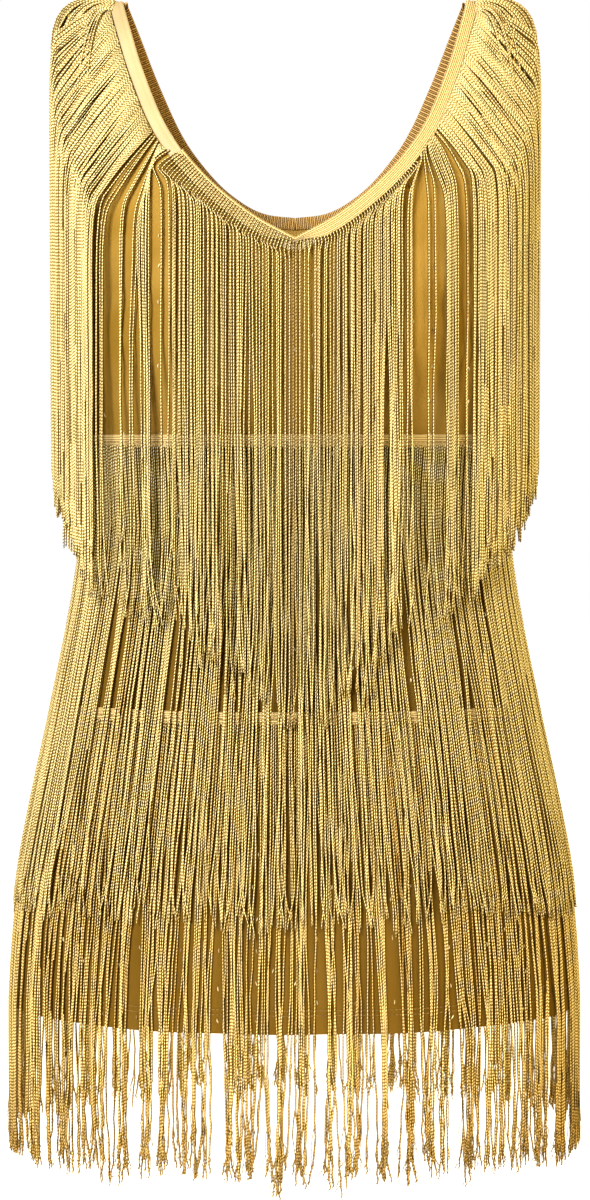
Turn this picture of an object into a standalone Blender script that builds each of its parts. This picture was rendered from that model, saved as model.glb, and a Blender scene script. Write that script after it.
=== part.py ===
"""Sleeveless V-neck dress of stretch knit with three tiers of hanging fringe, in its worn, hollow shape.

Metres, +Z up. The front faces -Y and the wearer's left is +X. The origin lies midway between the two
shoulders, at the height where the shoulder seams rest.
"""

from typing import NamedTuple

import bpy
import numpy as np

# Cloth
WALL = 0.0014
HEM_WALL = 0.0024
SEAM_GAP = 0.0003

# Heights of the main lines
HEM = -0.745
HEM_TURN = -0.7285
HIP_TAPE = -0.516
BUST_TAPE = -0.316
UNDERARM = -0.205

# Shoulder seam, as x and z of its two ends, and the round of the shoulder under it
SEAM_AT_NECK = (0.1300, 0.0080)
SEAM_AT_ARM = (0.1715, 0.0030)
ARCH_DROP = 0.20
ARCH_ROUND = 0.55

# Bust shaping, a soft rise on each side of the front
CUP_X = 0.078
CUP_Z = -0.238
CUP_RISE = 0.010
CUP_WIDE = 0.038
CUP_TALL = 0.046

# Fringe
FRINGE_DROP = 0.335
TAPE_DEEP = 0.008
TAPE_THICK = 0.0012
LOCK_THICK = 0.0014
LOCK_SHARE = 0.70
NECK_LOCK_WIDEST = 0.0075
TIER_LOCK_WIDEST = 0.0200
NECK_BAND_WIDE = 0.0085
NECK_BAND_THICK = 0.0009
TRIM_WIDE = 0.0070
EDGE_LAP = 0.0010
HEADER_TOP = 0.0010
HEADER_DEEP = 0.0060
HEADER_GAP = 0.0008
BAND_GAP = 0.0006

# The neck fringe hangs as a curtain round the bust and the shoulders, an ellipse in plan
CURTAIN_WIDE = 0.1845
CURTAIN_DEEP = 0.1130
CURTAIN_LIFT = 0.0038
CURTAIN_LIFT_OVER_TIER = 0.0072
OVER_TIER_MARGIN = 0.0300

# A neck lock's curve, as shares of its reach: how far it leads off the edge, and drops onto the curtain
LEAD_SHARE = 0.4
DROP_SHARE = 0.5
CURVE_STOPS = (1 / 3, 2 / 3, 1.0)
PLUMB_STOPS = (0.17, 0.36, 0.6, 1.0)

# Rows of the cloth tilt towards the neck from this height up
TILT_START = -0.320

# Fineness of the solids
COLUMNS = 12
ROW_SAMPLES = 161
FRONT_LOCKS_A_SIDE = 26
BACK_LOCKS_A_SIDE = 19


class Level(NamedTuple):
    """One section of the cloth's outer face; squareness 2 is an ellipse, and more is squarer."""

    height: float
    half_width: float
    front: float
    back: float
    squareness: float


class EdgePoint(NamedTuple):
    """A point of a neck or armhole edge in front view, with its share of the way to the shoulder."""

    share: float
    x: float
    z: float


class Fall(NamedTuple):
    """How the fringe hangs that starts at one share of a neck edge."""

    share: float
    bearing: float
    turn: float


class Fold(NamedTuple):
    """A soft fold of the skirt: its bearing from the middle front, its width and its rise at the hem."""

    bearing: float
    width: float
    rise: float


class Stop(NamedTuple):
    """A height at which a lock of a tier bends, and how far it lies off the cloth there."""

    height: float
    lift: float


LEVELS = (
    Level(-0.745, 0.2145, 0.1400, 0.1430, 2.15),
    Level(-0.700, 0.2120, 0.1370, 0.1410, 2.15),
    Level(-0.650, 0.2070, 0.1330, 0.1385, 2.15),
    Level(-0.590, 0.1960, 0.1265, 0.1345, 2.20),
    Level(-0.520, 0.1810, 0.1175, 0.1270, 2.25),
    Level(-0.470, 0.1713, 0.1090, 0.1160, 2.30),
    Level(-0.410, 0.1622, 0.0995, 0.1000, 2.35),
    Level(-0.365, 0.1595, 0.0975, 0.0920, 2.40),
    Level(-0.320, 0.1600, 0.1015, 0.0920, 2.50),
    Level(-0.260, 0.1612, 0.1075, 0.0960, 2.60),
    Level(-0.205, 0.1600, 0.1070, 0.1000, 2.65),
    Level(-0.130, 0.1740, 0.1010, 0.0980, 2.60),
    Level(-0.050, 0.1790, 0.0950, 0.0900, 2.50),
    Level(0.010, 0.1800, 0.0900, 0.0850, 2.50),
)

FRONT_NECK = (
    EdgePoint(0.000, 0.0000, -0.1755),
    EdgePoint(0.130, 0.0300, -0.1590),
    EdgePoint(0.275, 0.0605, -0.1345),
    EdgePoint(0.440, 0.0880, -0.1020),
    EdgePoint(0.690, 0.1121, -0.0495),
    EdgePoint(0.865, 0.1240, -0.0120),
    EdgePoint(1.000, SEAM_AT_NECK[0], SEAM_AT_NECK[1]),
)
BACK_NECK = (
    EdgePoint(0.000, 0.0000, -0.1484),
    EdgePoint(0.100, 0.0240, -0.1454),
    EdgePoint(0.250, 0.0528, -0.1298),
    EdgePoint(0.430, 0.0816, -0.0993),
    EdgePoint(0.700, 0.1085, -0.0480),
    EdgePoint(0.865, 0.1220, -0.0130),
    EdgePoint(1.000, SEAM_AT_NECK[0], SEAM_AT_NECK[1]),
)
ARMHOLE = (
    EdgePoint(0.000, 0.1600, UNDERARM),
    EdgePoint(0.120, 0.1574, -0.1985),
    EdgePoint(0.250, 0.1532, -0.1780),
    EdgePoint(0.430, 0.1510, -0.1300),
    EdgePoint(0.650, 0.1580, -0.0750),
    EdgePoint(0.865, 0.1665, -0.0220),
    EdgePoint(1.000, SEAM_AT_ARM[0], SEAM_AT_ARM[1]),
)

FRONT_FALL = (
    Fall(0.000, 0.5, -0.204),
    Fall(0.130, 11.5, -0.190),
    Fall(0.275, 21.5, -0.168),
    Fall(0.400, 29.0, -0.152),
    Fall(0.470, 37.0, -0.160),
    Fall(0.520, 48.0, -0.160),
    Fall(0.600, 58.0, -0.150),
    Fall(0.700, 69.0, -0.126),
    Fall(0.800, 77.5, -0.092),
    Fall(0.900, 83.5, -0.058),
    Fall(1.000, 88.0, -0.034),
)
BACK_FALL = (
    Fall(0.000, 0.5, -0.176),
    Fall(0.150, 12.5, -0.172),
    Fall(0.300, 24.0, -0.160),
    Fall(0.450, 37.0, -0.150),
    Fall(0.600, 53.0, -0.140),
    Fall(0.750, 69.0, -0.108),
    Fall(0.880, 80.0, -0.064),
    Fall(1.000, 87.0, -0.036),
)

SKIRT_FOLDS = (
    Fold(-158, 15, 0.0045),
    Fold(-121, 13, 0.0040),
    Fold(-74, 12, 0.0036),
    Fold(-38, 13, 0.0040),
    Fold(-4, 11, 0.0030),
    Fold(31, 14, 0.0044),
    Fold(69, 12, 0.0034),
    Fold(107, 13, 0.0038),
    Fold(142, 14, 0.0046),
    Fold(177, 12, 0.0036),
)
FOLDS_START = -0.500

LOWER_HEIGHTS = (
    HEM, HEM_TURN, -0.700, -0.650, -0.590, -0.520, -0.470, -0.410, -0.365, -0.320, -0.260, UNDERARM,
)
UPPER_SHARES = (
    0.065, 0.13, 0.20, 0.275, 0.36, 0.44, 0.52, 0.60, 0.67, 0.74, 0.81, 0.865, 0.92, 0.96, 1.0,
)

BUST_STOPS = (
    Stop(-0.410, 0.0008),
    Stop(-0.520, 0.0026),
    Stop(-0.590, 0.0026),
    Stop(BUST_TAPE - FRINGE_DROP, 0.0026),
)
HIP_STOPS = (
    Stop(-0.590, 0.0004),
    Stop(-0.650, 0.0004),
    Stop(-0.700, 0.0004),
    Stop(HEM, 0.0005),
    Stop(HIP_TAPE - FRINGE_DROP, 0.0008),
)


class Face(NamedTuple):
    """The front or the back of the dress; side is -1 towards the front and +1 towards the back."""

    name: str
    side: int
    neck: tuple
    fall: tuple


FRONT = Face("front", -1, FRONT_NECK, FRONT_FALL)
BACK = Face("back", 1, BACK_NECK, BACK_FALL)


def smooth(at, stations, values):
    """Reads a table as a cubic curve whose slope at each row comes from its neighbours."""
    stations = np.asarray(stations, float)
    values = np.asarray(values, float)
    at = np.clip(at, stations[0], stations[-1])
    slopes = np.gradient(values, stations)
    low = np.clip(np.searchsorted(stations, at, side="right") - 1, 0, len(stations) - 2)
    span = stations[low + 1] - stations[low]
    t = (at - stations[low]) / span
    start = (1 + 2 * t) * (1 - t) ** 2 * values[low] + t * (1 - t) ** 2 * span * slopes[low]
    end = t * t * (3 - 2 * t) * values[low + 1] + t * t * (t - 1) * span * slopes[low + 1]
    return start + end


def column(table, first, name, at):
    """One named column of a table, read at any value of its first column."""
    rows = [getattr(row, first) for row in table]
    return smooth(at, rows, [getattr(row, name) for row in table])


def section(name, z):
    """A measure of the cloth's section at height z, by the name of its column in LEVELS."""
    return column(LEVELS, "height", name, z)


def seam_height(x):
    """Height of the shoulder line over x."""
    (x0, z0), (x1, z1) = SEAM_AT_NECK, SEAM_AT_ARM
    return z0 + (z1 - z0) * np.clip((x - x0) / (x1 - x0), 0, None)


def stand_off(face, x, z):
    """How far the cloth's outer face lies from the plane through the side and shoulder seams."""
    x = np.abs(x)
    power = section("squareness", z)
    flat = (1 - np.clip(x / section("half_width", z), 0, 1) ** power) ** (1 / power)
    below = np.clip((seam_height(x) - z) / ARCH_DROP, 0, 1)
    out = section(face.name, z) * flat * (1 - (1 - below) ** 2) ** ARCH_ROUND
    if face is FRONT:
        out = out + CUP_RISE * np.exp(-(((x - CUP_X) / CUP_WIDE) ** 2) - ((z - CUP_Z) / CUP_TALL) ** 2)
    return out


def on_form(face, x, z, lift=0.0):
    """Points of the outer face at x and z, moved out along its normal by lift; also that normal."""
    step = 2e-5
    out = stand_off(face, x, z)
    by_x = (stand_off(face, np.abs(x) + step, z) - stand_off(face, np.abs(x) - step, z)) / (2 * step)
    by_z = (out - stand_off(face, x, z - step)) / step
    normal = np.stack([-by_x * np.sign(x), face.side * np.ones_like(out), -by_z], axis=-1)
    normal /= np.linalg.norm(normal, axis=-1, keepdims=True)
    point = np.stack([x, face.side * (out + SEAM_GAP / 2), z], axis=-1)
    return point + normal * np.asarray(lift)[..., None], normal


def fold_rise(bearing, z):
    """How far the skirt's folds stand out at a bearing in degrees round the wearer."""
    grow = np.clip((FOLDS_START - z) / (FOLDS_START - HEM), 0, 1)
    grow = grow * grow * (3 - 2 * grow)
    rise = 0
    for fold in SKIRT_FOLDS:
        away = (bearing - fold.bearing + 180) % 360 - 180
        rise = rise + fold.rise * np.exp(-((away / fold.width) ** 2))
    return rise * grow


def half_row(face, hand, v):
    """Points across half a face, evenly spaced from its side or armhole edge to its middle or neck.

    v runs from 0 at the hem to 1 at the underarm and the neck point, then to 2 at the shoulder seam.
    """
    if v <= 1:
        height = HEM + (UNDERARM - HEM) * v
        tilt = np.clip((height - TILT_START) / (UNDERARM - TILT_START), 0, 1) ** 1.5
        outer = (section("half_width", height), height)
        inner = (0.0, height + (face.neck[0].z - UNDERARM) * tilt)
    else:
        outer = [column(ARMHOLE, "share", name, v - 1) for name in ("x", "z")]
        inner = [column(face.neck, "share", name, v - 1) for name in ("x", "z")]
    inward = 1 - np.cos(np.linspace(0, np.pi / 2, ROW_SAMPLES))
    x = outer[0] + (inner[0] - outer[0]) * inward
    z = outer[1] + (inner[1] - outer[1]) * inward
    y = face.side * stand_off(face, x, z)
    bearing = np.degrees(np.arctan2(hand * x, -y))
    reach = np.hypot(x, y)
    swell = 1 + fold_rise(bearing, z) / np.maximum(reach, 1e-6)
    dense = np.stack([hand * x * swell, y * swell + face.side * SEAM_GAP / 2, z], axis=-1)
    along = np.concatenate([[0], np.cumsum(np.linalg.norm(np.diff(dense, axis=0), axis=1))])
    even = np.linspace(0, along[-1], COLUMNS + 1)
    return np.stack([np.interp(even, along, dense[:, axis]) for axis in range(3)], axis=-1)


def row_values():
    """Every row of a panel, as the v of half_row."""
    lower = [(height - HEM) / (UNDERARM - HEM) for height in LOWER_HEIGHTS]
    return lower + [1 + share for share in UPPER_SHARES]


class Panel:
    """The outer face of the front or back as a grid, with the normal at each of its points."""

    def __init__(self, face):
        self.face = face
        rows = row_values()
        self.points = np.array([[half_row(face, hand, v) for v in rows] for hand in (-1, 1)])
        self.neck_row = len(LOWER_HEIGHTS) - 1
        self.row_heights = self.points[1, :, -1, 2]
        self.number_points()
        self.find_normals()

    def number_points(self):
        """Gives each grid point its number; below the neck the two halves share the middle column."""
        shape = self.points.shape[:3]
        self.numbers = np.arange(np.prod(shape)).reshape(shape)
        self.numbers[1, : self.neck_row + 1, -1] = self.numbers[0, : self.neck_row + 1, -1]
        quads = []
        for half, hand in enumerate((-1, 1)):
            n = self.numbers[half]
            corners = [n[:-1, :-1], n[:-1, 1:], n[1:, 1:], n[1:, :-1]]
            if hand * self.face.side > 0:
                corners.reverse()
            quads.append(np.stack([corner.ravel() for corner in corners], axis=-1))
        self.quads = np.concatenate(quads)

    def find_normals(self):
        """Gives each point the mean direction of its faces, kept level at the seams and the middle."""
        flat = self.points.reshape(-1, 3)
        corner = flat[self.quads]
        facing = np.cross(corner[:, 2] - corner[:, 0], corner[:, 3] - corner[:, 1])
        total = np.zeros_like(flat)
        for k in range(4):
            np.add.at(total, self.quads[:, k], facing)
        total = total[self.numbers]
        total[:, : self.neck_row + 1, 0, 1] = 0
        total[:, -1, :, 1] = 0
        self.normals = total / np.linalg.norm(total, axis=-1, keepdims=True)
        middle = flat[self.numbers]
        outward = np.sum(self.normals * (middle * [1, 1, 0]), axis=-1)
        if outward[:, 0].mean() < 0:
            self.normals = -self.normals
            self.quads = self.quads[:, ::-1]

    def at(self, hand, row, column_at, lift):
        """Points between the grid's own points, on its flat facets, moved out by lift."""
        half = (hand + 1) // 2
        low_row = np.clip(np.floor(row).astype(int), 0, self.points.shape[1] - 2)
        low_col = np.clip(np.floor(column_at).astype(int), 0, COLUMNS - 1)
        up = (row - low_row)[..., None]
        across = (column_at - low_col)[..., None]
        found = []
        for grid in (self.points[half], self.normals[half]):
            below = grid[low_row, low_col] * (1 - across) + grid[low_row, low_col + 1] * across
            above = grid[low_row + 1, low_col] * (1 - across) + grid[low_row + 1, low_col + 1] * across
            found.append(below * (1 - up) + above * up)
        point, normal = found
        normal = normal / np.linalg.norm(normal, axis=-1, keepdims=True)
        return point + normal * np.asarray(lift)[..., None], normal

    def one(self, hand, row, column_at, lift):
        """A single point of at, as an array of three."""
        return self.at(hand, np.array([row], float), np.array([column_at], float), np.array([lift]))[0][0]

    def columns_in(self, hand, row):
        """How many columns a metre in from the neck edge takes, square to that edge, on an upper row."""
        edge = self.points[(hand + 1) // 2, :, -1]
        across = self.points[(hand + 1) // 2, row, -2] - edge[row]
        along = edge[min(row + 1, len(edge) - 1)] - edge[row - 1]
        along = along / np.linalg.norm(along)
        return 1 / np.linalg.norm(np.cross(across, along))

    def wall(self):
        """The panel as a closed wall: its outer face, its inner face and a rim round every edge."""
        thick = np.full(self.points.shape[1], WALL)
        thick[:2] = HEM_WALL
        inner = self.points - self.normals * thick[None, :, None, None]
        count = self.numbers.size
        vertices = np.concatenate([self.points.reshape(-1, 3), inner.reshape(-1, 3)])
        faces = [tuple(quad) for quad in self.quads]
        edges = {(quad[k], quad[(k + 1) % 4]) for quad in faces for k in range(4)}
        faces += [tuple(number + count for number in reversed(quad)) for quad in faces]
        faces += [(b, a, a + count, b + count) for a, b in sorted(edges) if (b, a) not in edges]
        return vertices, faces


def material(name, colour, roughness, sheen=0.0):
    """A Principled material from an sRGB colour."""
    made = bpy.data.materials.new(name)
    made.use_nodes = True
    shader = made.node_tree.nodes["Principled BSDF"]
    linear = [(c / 12.92) if c <= 0.04045 else ((c + 0.055) / 1.055) ** 2.4 for c in colour]
    shader.inputs["Base Color"].default_value = (*linear, 1)
    shader.inputs["Roughness"].default_value = roughness
    shader.inputs["Sheen Weight"].default_value = sheen
    made.diffuse_color = (*linear, 1)
    return made


def add_object(name, vertices, faces, finish):
    """A mesh object of only the vertices that its faces use."""
    used = sorted({int(number) for face in faces for number in face})
    place = {number: k for k, number in enumerate(used)}
    mesh = bpy.data.meshes.new(name)
    points = [tuple(map(float, vertices[number])) for number in used]
    mesh.from_pydata(points, [], [[place[int(number)] for number in face] for face in faces])
    mesh.materials.append(finish)
    mesh.shade_smooth()
    mesh.set_sharp_from_angle(angle=np.radians(40))
    made = bpy.data.objects.new(name, mesh)
    bpy.context.scene.collection.objects.link(made)
    return made


def edge_offset(face, share, hand, inset):
    """x and z of a point on the form at a distance from the neck edge, square to it in front view."""
    step = 1e-3
    x, z = (column(face.neck, "share", name, share) for name in ("x", "z"))
    ahead = [column(face.neck, "share", name, np.minimum(share + step, 1)) for name in ("x", "z")]
    behind = [column(face.neck, "share", name, np.maximum(share - step, 0)) for name in ("x", "z")]
    along = np.stack([ahead[0] - behind[0], ahead[1] - behind[1]])
    along /= np.linalg.norm(along, axis=0)
    return hand * (x + along[1] * inset), z - along[0] * inset


def edge_strip(panel, low_lift, high_lift, wide):
    """A flat band along a panel's neck edge, laid on the panel's own points, as vertices and faces."""
    lifts = (high_lift, low_lift)
    top_row = panel.points.shape[1] - 1
    stations = [(-1, row) for row in range(top_row, panel.neck_row, -1)]
    stations += [(0, panel.neck_row)]
    stations += [(1, row) for row in range(panel.neck_row + 1, top_row + 1)]
    sections = []
    for hand, row in stations:
        if hand == 0:
            drop = wide / (panel.row_heights[row] - panel.row_heights[row - 1])
            upper = [panel.one(1, row, COLUMNS, lift) + (0, 0, EDGE_LAP) for lift in lifts]
            lower = [panel.one(1, row - drop, COLUMNS, lift) for lift in lifts]
        else:
            inset = panel.columns_in(hand, row)
            upper = [panel.one(hand, row, COLUMNS + EDGE_LAP * inset, lift) for lift in lifts]
            lower = [panel.one(hand, row, COLUMNS - wide * inset, lift) for lift in lifts]
        sections.append([upper[0], lower[0], lower[1], upper[1]])
    return strip_faces(np.array(sections))


def strip_faces(ring):
    """A closed solid from sections of four corners each, one after another."""
    count = len(ring)
    number = np.arange(count * 4).reshape(count, 4)
    faces = []
    for k in range(4):
        a, b = number[:, k], number[:, (k + 1) % 4]
        faces += list(zip(a[:-1], a[1:], b[1:], b[:-1]))
    faces.append(tuple(number[0]))
    faces.append(tuple(number[-1][::-1]))
    vertices = ring.reshape(-1, 3)
    return outward(vertices, faces)


def outward(vertices, faces):
    """The same solid with its faces turned out, told by the sign of its volume."""
    volume = 0.0
    for face in faces:
        for k in range(1, len(face) - 1):
            a, b, c = vertices[face[0]], vertices[face[k]], vertices[face[k + 1]]
            volume += np.dot(a, np.cross(b, c))
    if volume < 0:
        faces = [tuple(reversed(face)) for face in faces]
    return vertices, faces


def fringe_solid(tape_top, tape_top_out, centre, normal, widest, ring):
    """A tape with three-sided locks that grow from its lower rim, all one closed solid.

    tape_top and tape_top_out hold a point for each lock on the tape's top edge, at its inner and outer
    side. centre and normal hold each lock's inner line from the tape's lower edge to its end.
    """
    neighbours = np.roll(centre, -1, axis=0) - np.roll(centre, 1, axis=0)
    if not ring:
        neighbours[0] = 2 * (centre[1] - centre[0])
        neighbours[-1] = 2 * (centre[-1] - centre[-2])
    along = np.gradient(centre, axis=1)
    along /= np.linalg.norm(along, axis=-1, keepdims=True)
    across = neighbours - along * np.sum(neighbours * along, axis=-1, keepdims=True)
    pitch = np.linalg.norm(across, axis=-1, keepdims=True) / 2
    across /= 2 * pitch
    half = np.minimum(pitch * LOCK_SHARE, widest) / 2
    out = normal * LOCK_THICK
    out[:, 0] = normal[:, 0] * TAPE_THICK
    sections = np.stack([centre - across * half + out, centre + across * half + out, centre], axis=2)
    locks, stops = centre.shape[:2]
    vertices = np.concatenate([tape_top, tape_top_out, sections.reshape(-1, 3)])
    first = 2 * locks
    number = first + np.arange(locks * stops * 3).reshape(locks, stops, 3)
    faces = []
    for k in range(locks):
        left, right, inner = number[k, 0]
        faces.append((locks + k, left, right))
        for m in range(stops - 1):
            for a, b in ((0, 1), (1, 2), (2, 0)):
                faces.append((number[k, m, a], number[k, m + 1, a], number[k, m + 1, b], number[k, m, b]))
        faces.append(tuple(number[k, -1, ::-1]))
        if k == locks - 1 and not ring:
            continue
        after = (k + 1) % locks
        next_left, _, next_inner = number[after, 0]
        faces.append((locks + k, right, next_left, locks + after))
        faces.append((k, after, next_inner, inner))
        faces.append((locks + k, locks + after, after, k))
        faces.append((right, inner, next_inner, next_left))
    if not ring:
        faces.append((locks, 0, number[0, 0, 2], number[0, 0, 0]))
        faces.append((locks - 1, 2 * locks - 1, number[-1, 0, 1], number[-1, 0, 2]))
    return outward(vertices, faces)


def ring_points(panels, height, lift):
    """A point on each column line right round the dress, with its normal, at a height below the bust.

    Below the hem the cloth's lower edge is carried straight down.
    """
    row = np.interp(height, LOWER_HEIGHTS, np.arange(len(LOWER_HEIGHTS)))
    side_to_middle = np.arange(COLUMNS)
    middle_to_side = np.arange(COLUMNS, 0, -1)
    quarters = ((FRONT, 1, side_to_middle), (FRONT, -1, middle_to_side),
                (BACK, -1, side_to_middle), (BACK, 1, middle_to_side))
    points, normals = [], []
    for face, hand, columns in quarters:
        columns = columns.astype(float)
        rows = np.full(len(columns), row)
        point, normal = panels[face.name].at(hand, rows, columns, np.full(len(columns), lift))
        points.append(point)
        normals.append(normal)
    points, normals = np.concatenate(points), np.concatenate(normals)
    points[:, 2] += min(height - HEM, 0)
    return points, normals


def tier_solid(panels, top, stops):
    """A tier's tape and its locks, which lie on the cloth's column lines right round the dress."""
    inner_top, normal = ring_points(panels, top, SEAM_GAP)
    outer_top = inner_top + normal * TAPE_THICK
    heights = [Stop(top - TAPE_DEEP, SEAM_GAP), *stops]
    found = [ring_points(panels, stop.height, stop.lift) for stop in heights]
    centre = np.stack([point for point, _ in found], axis=1)
    normals = np.stack([normal for _, normal in found], axis=1)
    return fringe_solid(inner_top, outer_top, centre, normals, TIER_LOCK_WIDEST, True)


def neck_fall(face, shares, hands, low_lift):
    """Each neck lock's inner line: square off the neck edge, over the shoulder or bust, then plumb."""
    root_inset = HEADER_TOP + HEADER_DEEP
    lifts = np.full(len(shares), low_lift)
    root, root_normal = on_form(face, *edge_offset(face, shares, hands, root_inset), lifts)
    bearing = np.radians(column(face.fall, "share", "bearing", shares))
    turn = column(face.fall, "share", "turn", shares)
    hang = np.stack([
        hands * CURTAIN_WIDE * np.sin(bearing), face.side * CURTAIN_DEEP * np.cos(bearing), turn,
    ], axis=-1)
    reach = np.linalg.norm(hang - root, axis=-1)
    lead_x, lead_z = edge_offset(face, shares, hands, root_inset + LEAD_SHARE * reach)
    lead, _ = on_form(face, lead_x, np.minimum(lead_z, seam_height(np.abs(lead_x))), lifts)
    above = hang + np.stack([0 * reach, 0 * reach, DROP_SHARE * reach], axis=-1)
    line = [root]
    for t in CURVE_STOPS:
        weights = ((1 - t) ** 3, 3 * t * (1 - t) ** 2, 3 * t * t * (1 - t), t ** 3)
        line.append(sum(w * p for w, p in zip(weights, (root, lead, above, hang))))
    line = [clear_of_form(face, point, CURTAIN_LIFT) for point in line[1:]]
    line.insert(0, root)
    used = sum(np.linalg.norm(b - a, axis=-1) for a, b in zip(line, line[1:]))
    left = FRINGE_DROP - used
    for share in PLUMB_STOPS:
        point = line[3].copy()
        point[:, 2] = line[3][:, 2] - left * share
        point[:, 1] = face.side * np.maximum(face.side * line[-1][:, 1], 0)
        over_tier = point[:, 2] < BUST_TAPE + OVER_TIER_MARGIN
        lift = np.where(over_tier, CURTAIN_LIFT_OVER_TIER, CURTAIN_LIFT)
        line.append(clear_of_form(face, point, lift))
    centre = np.stack(line, axis=1)
    hang_normal = np.stack([
        hands * np.sin(bearing) / CURTAIN_WIDE, face.side * np.cos(bearing) / CURTAIN_DEEP, 0 * bearing,
    ], axis=-1)
    hang_normal /= np.linalg.norm(hang_normal, axis=-1, keepdims=True)
    share = np.clip(np.arange(centre.shape[1]) / 3, 0, 1)[None, :, None]
    normal = root_normal[:, None] * (1 - share) + hang_normal[:, None] * share
    normal /= np.linalg.norm(normal, axis=-1, keepdims=True)
    return centre, normal


def clear_of_form(face, point, lift):
    """The same points, brought out of the cloth where they lie in or too near it."""
    point = point.copy()
    out = stand_off(face, point[:, 0], point[:, 2]) + lift
    inside = np.abs(point[:, 0]) < section("half_width", point[:, 2])
    out = np.where(inside, out, 0)
    point[:, 1] = face.side * np.maximum(face.side * point[:, 1], out)
    return point


def neck_fringe_solid(face, locks_a_side, low_lift):
    """The neck edge's fringe on one face, from shoulder to shoulder."""
    gap = 1 / locks_a_side
    side = 1 - gap * (np.arange(locks_a_side) + 0.5)
    shares = np.concatenate([side, side[::-1]])
    hands = np.concatenate([-np.ones(locks_a_side), np.ones(locks_a_side)])
    at_top = edge_offset(face, shares, hands, HEADER_TOP)
    inner_top, normal = on_form(face, *at_top, np.full(len(shares), low_lift))
    outer_top = inner_top + normal * TAPE_THICK
    centre, normals = neck_fall(face, shares, hands, low_lift)
    return fringe_solid(inner_top, outer_top, centre, normals, NECK_LOCK_WIDEST, False)


def main():
    """Clears the scene and makes the panels, the neck's trims and the four fringes."""
    for old in list(bpy.data.objects):
        bpy.data.objects.remove(old, do_unlink=True)
    knit = material("ochre stretch knit", (0.72, 0.53, 0.20), 0.62, 0.3)
    yarn = material("pale gold fringe yarn", (0.91, 0.82, 0.52), 0.42, 0.4)
    satin = material("cream gold satin band", (0.95, 0.85, 0.62), 0.35)
    rib = material("dark ochre ribbed trim", (0.58, 0.42, 0.16), 0.7)
    panels = {face.name: Panel(face) for face in (FRONT, BACK)}
    for name, panel in panels.items():
        add_object(f"{name}_panel", *panel.wall(), knit)
    band_top = BAND_GAP + NECK_BAND_THICK
    add_object("neck_band", *edge_strip(panels["front"], BAND_GAP, band_top, NECK_BAND_WIDE), satin)
    trim_low, trim_high = -WALL - SEAM_GAP - TAPE_THICK, -WALL - SEAM_GAP
    add_object("back_neck_trim", *edge_strip(panels["back"], trim_low, trim_high, TRIM_WIDE), rib)
    over_band = band_top + SEAM_GAP
    front_fringe = neck_fringe_solid(FRONT, FRONT_LOCKS_A_SIDE, over_band)
    add_object("neck_fringe_front", *front_fringe, yarn)
    add_object("neck_fringe_back", *neck_fringe_solid(BACK, BACK_LOCKS_A_SIDE, HEADER_GAP), yarn)
    add_object("bust_fringe", *tier_solid(panels, BUST_TAPE, BUST_STOPS), yarn)
    add_object("hip_fringe", *tier_solid(panels, HIP_TAPE, HIP_STOPS), yarn)


main()
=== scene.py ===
"""Looks of a gold sleeveless V-neck dress with three tiers of hanging fringe, hollow, in its worn shape.

Metres, +Z up. The front faces -Y and the wearer's left is +X. The cloth's shape comes from a few tables of
measures, and every strand, rib and stitch is laid on that shape.
"""

import logging
from dataclasses import dataclass, field
from enum import Enum
from typing import NamedTuple

import bpy
import numpy as np
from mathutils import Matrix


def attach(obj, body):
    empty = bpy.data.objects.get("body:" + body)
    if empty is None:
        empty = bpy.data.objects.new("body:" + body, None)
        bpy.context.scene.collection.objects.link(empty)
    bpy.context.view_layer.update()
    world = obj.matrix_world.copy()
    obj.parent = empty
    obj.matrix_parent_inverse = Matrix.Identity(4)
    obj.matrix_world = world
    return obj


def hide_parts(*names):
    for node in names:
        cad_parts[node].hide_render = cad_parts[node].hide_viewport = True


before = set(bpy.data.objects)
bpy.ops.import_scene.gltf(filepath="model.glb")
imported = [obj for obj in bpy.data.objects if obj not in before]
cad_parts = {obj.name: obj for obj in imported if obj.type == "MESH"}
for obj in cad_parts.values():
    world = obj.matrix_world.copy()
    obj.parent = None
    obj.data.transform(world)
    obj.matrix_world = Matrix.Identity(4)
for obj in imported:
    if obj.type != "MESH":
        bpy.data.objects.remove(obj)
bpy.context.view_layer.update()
LOG = logging.getLogger("dress")
Array = np.ndarray
Socket = bpy.types.NodeSocket
Material = bpy.types.Material
Piece = bpy.types.Object
Shape = tuple[Array, list[Array], list[Array]]

# Main heights and gaps of the cut, the same as the solids'
WALL = 0.0014
HEM_WALL = 0.0024
SEAM_GAP = 0.0003
HEM = -0.745
HEM_TURN = -0.7285
HIP_TAPE = -0.516
BUST_TAPE = -0.316
UNDERARM = -0.205
TILT_START = -0.320
FOLDS_START = -0.500
TAPE_DEEP = 0.008
FRINGE_DROP = 0.335
# Radii of a strand and of one of its plies, and how far apart ribs and loops are
YARN = 0.00088
PLY = 0.00042
RIB_PITCH = 0.0029
LOOP_PITCH = 0.0022
# The hem's ellipse, on which bearings are read, and the heights where the hip's gaps open
HEM_HALF_WIDE = 0.2145
HEM_HALF_DEEP = 0.1415
GAPS_START = -0.560
GAPS_FULL = -0.780


class Face(Enum):
    """The front or the back of the dress; the value is the sign of y on that face."""

    FRONT = -1
    BACK = 1


class Level(NamedTuple):
    """One section of the cloth's outer face; squareness 2 is an ellipse, and more is squarer."""

    height: float
    half_width: float
    front: float
    back: float
    squareness: float


class EdgePoint(NamedTuple):
    """A point of a neck or armhole edge in front view, with its share of the way to the shoulder."""

    share: float
    x: float
    z: float


class Fold(NamedTuple):
    """A soft fold of the skirt: its bearing from the middle front, its width and its rise at the hem."""

    bearing: float
    width: float
    rise: float


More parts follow.
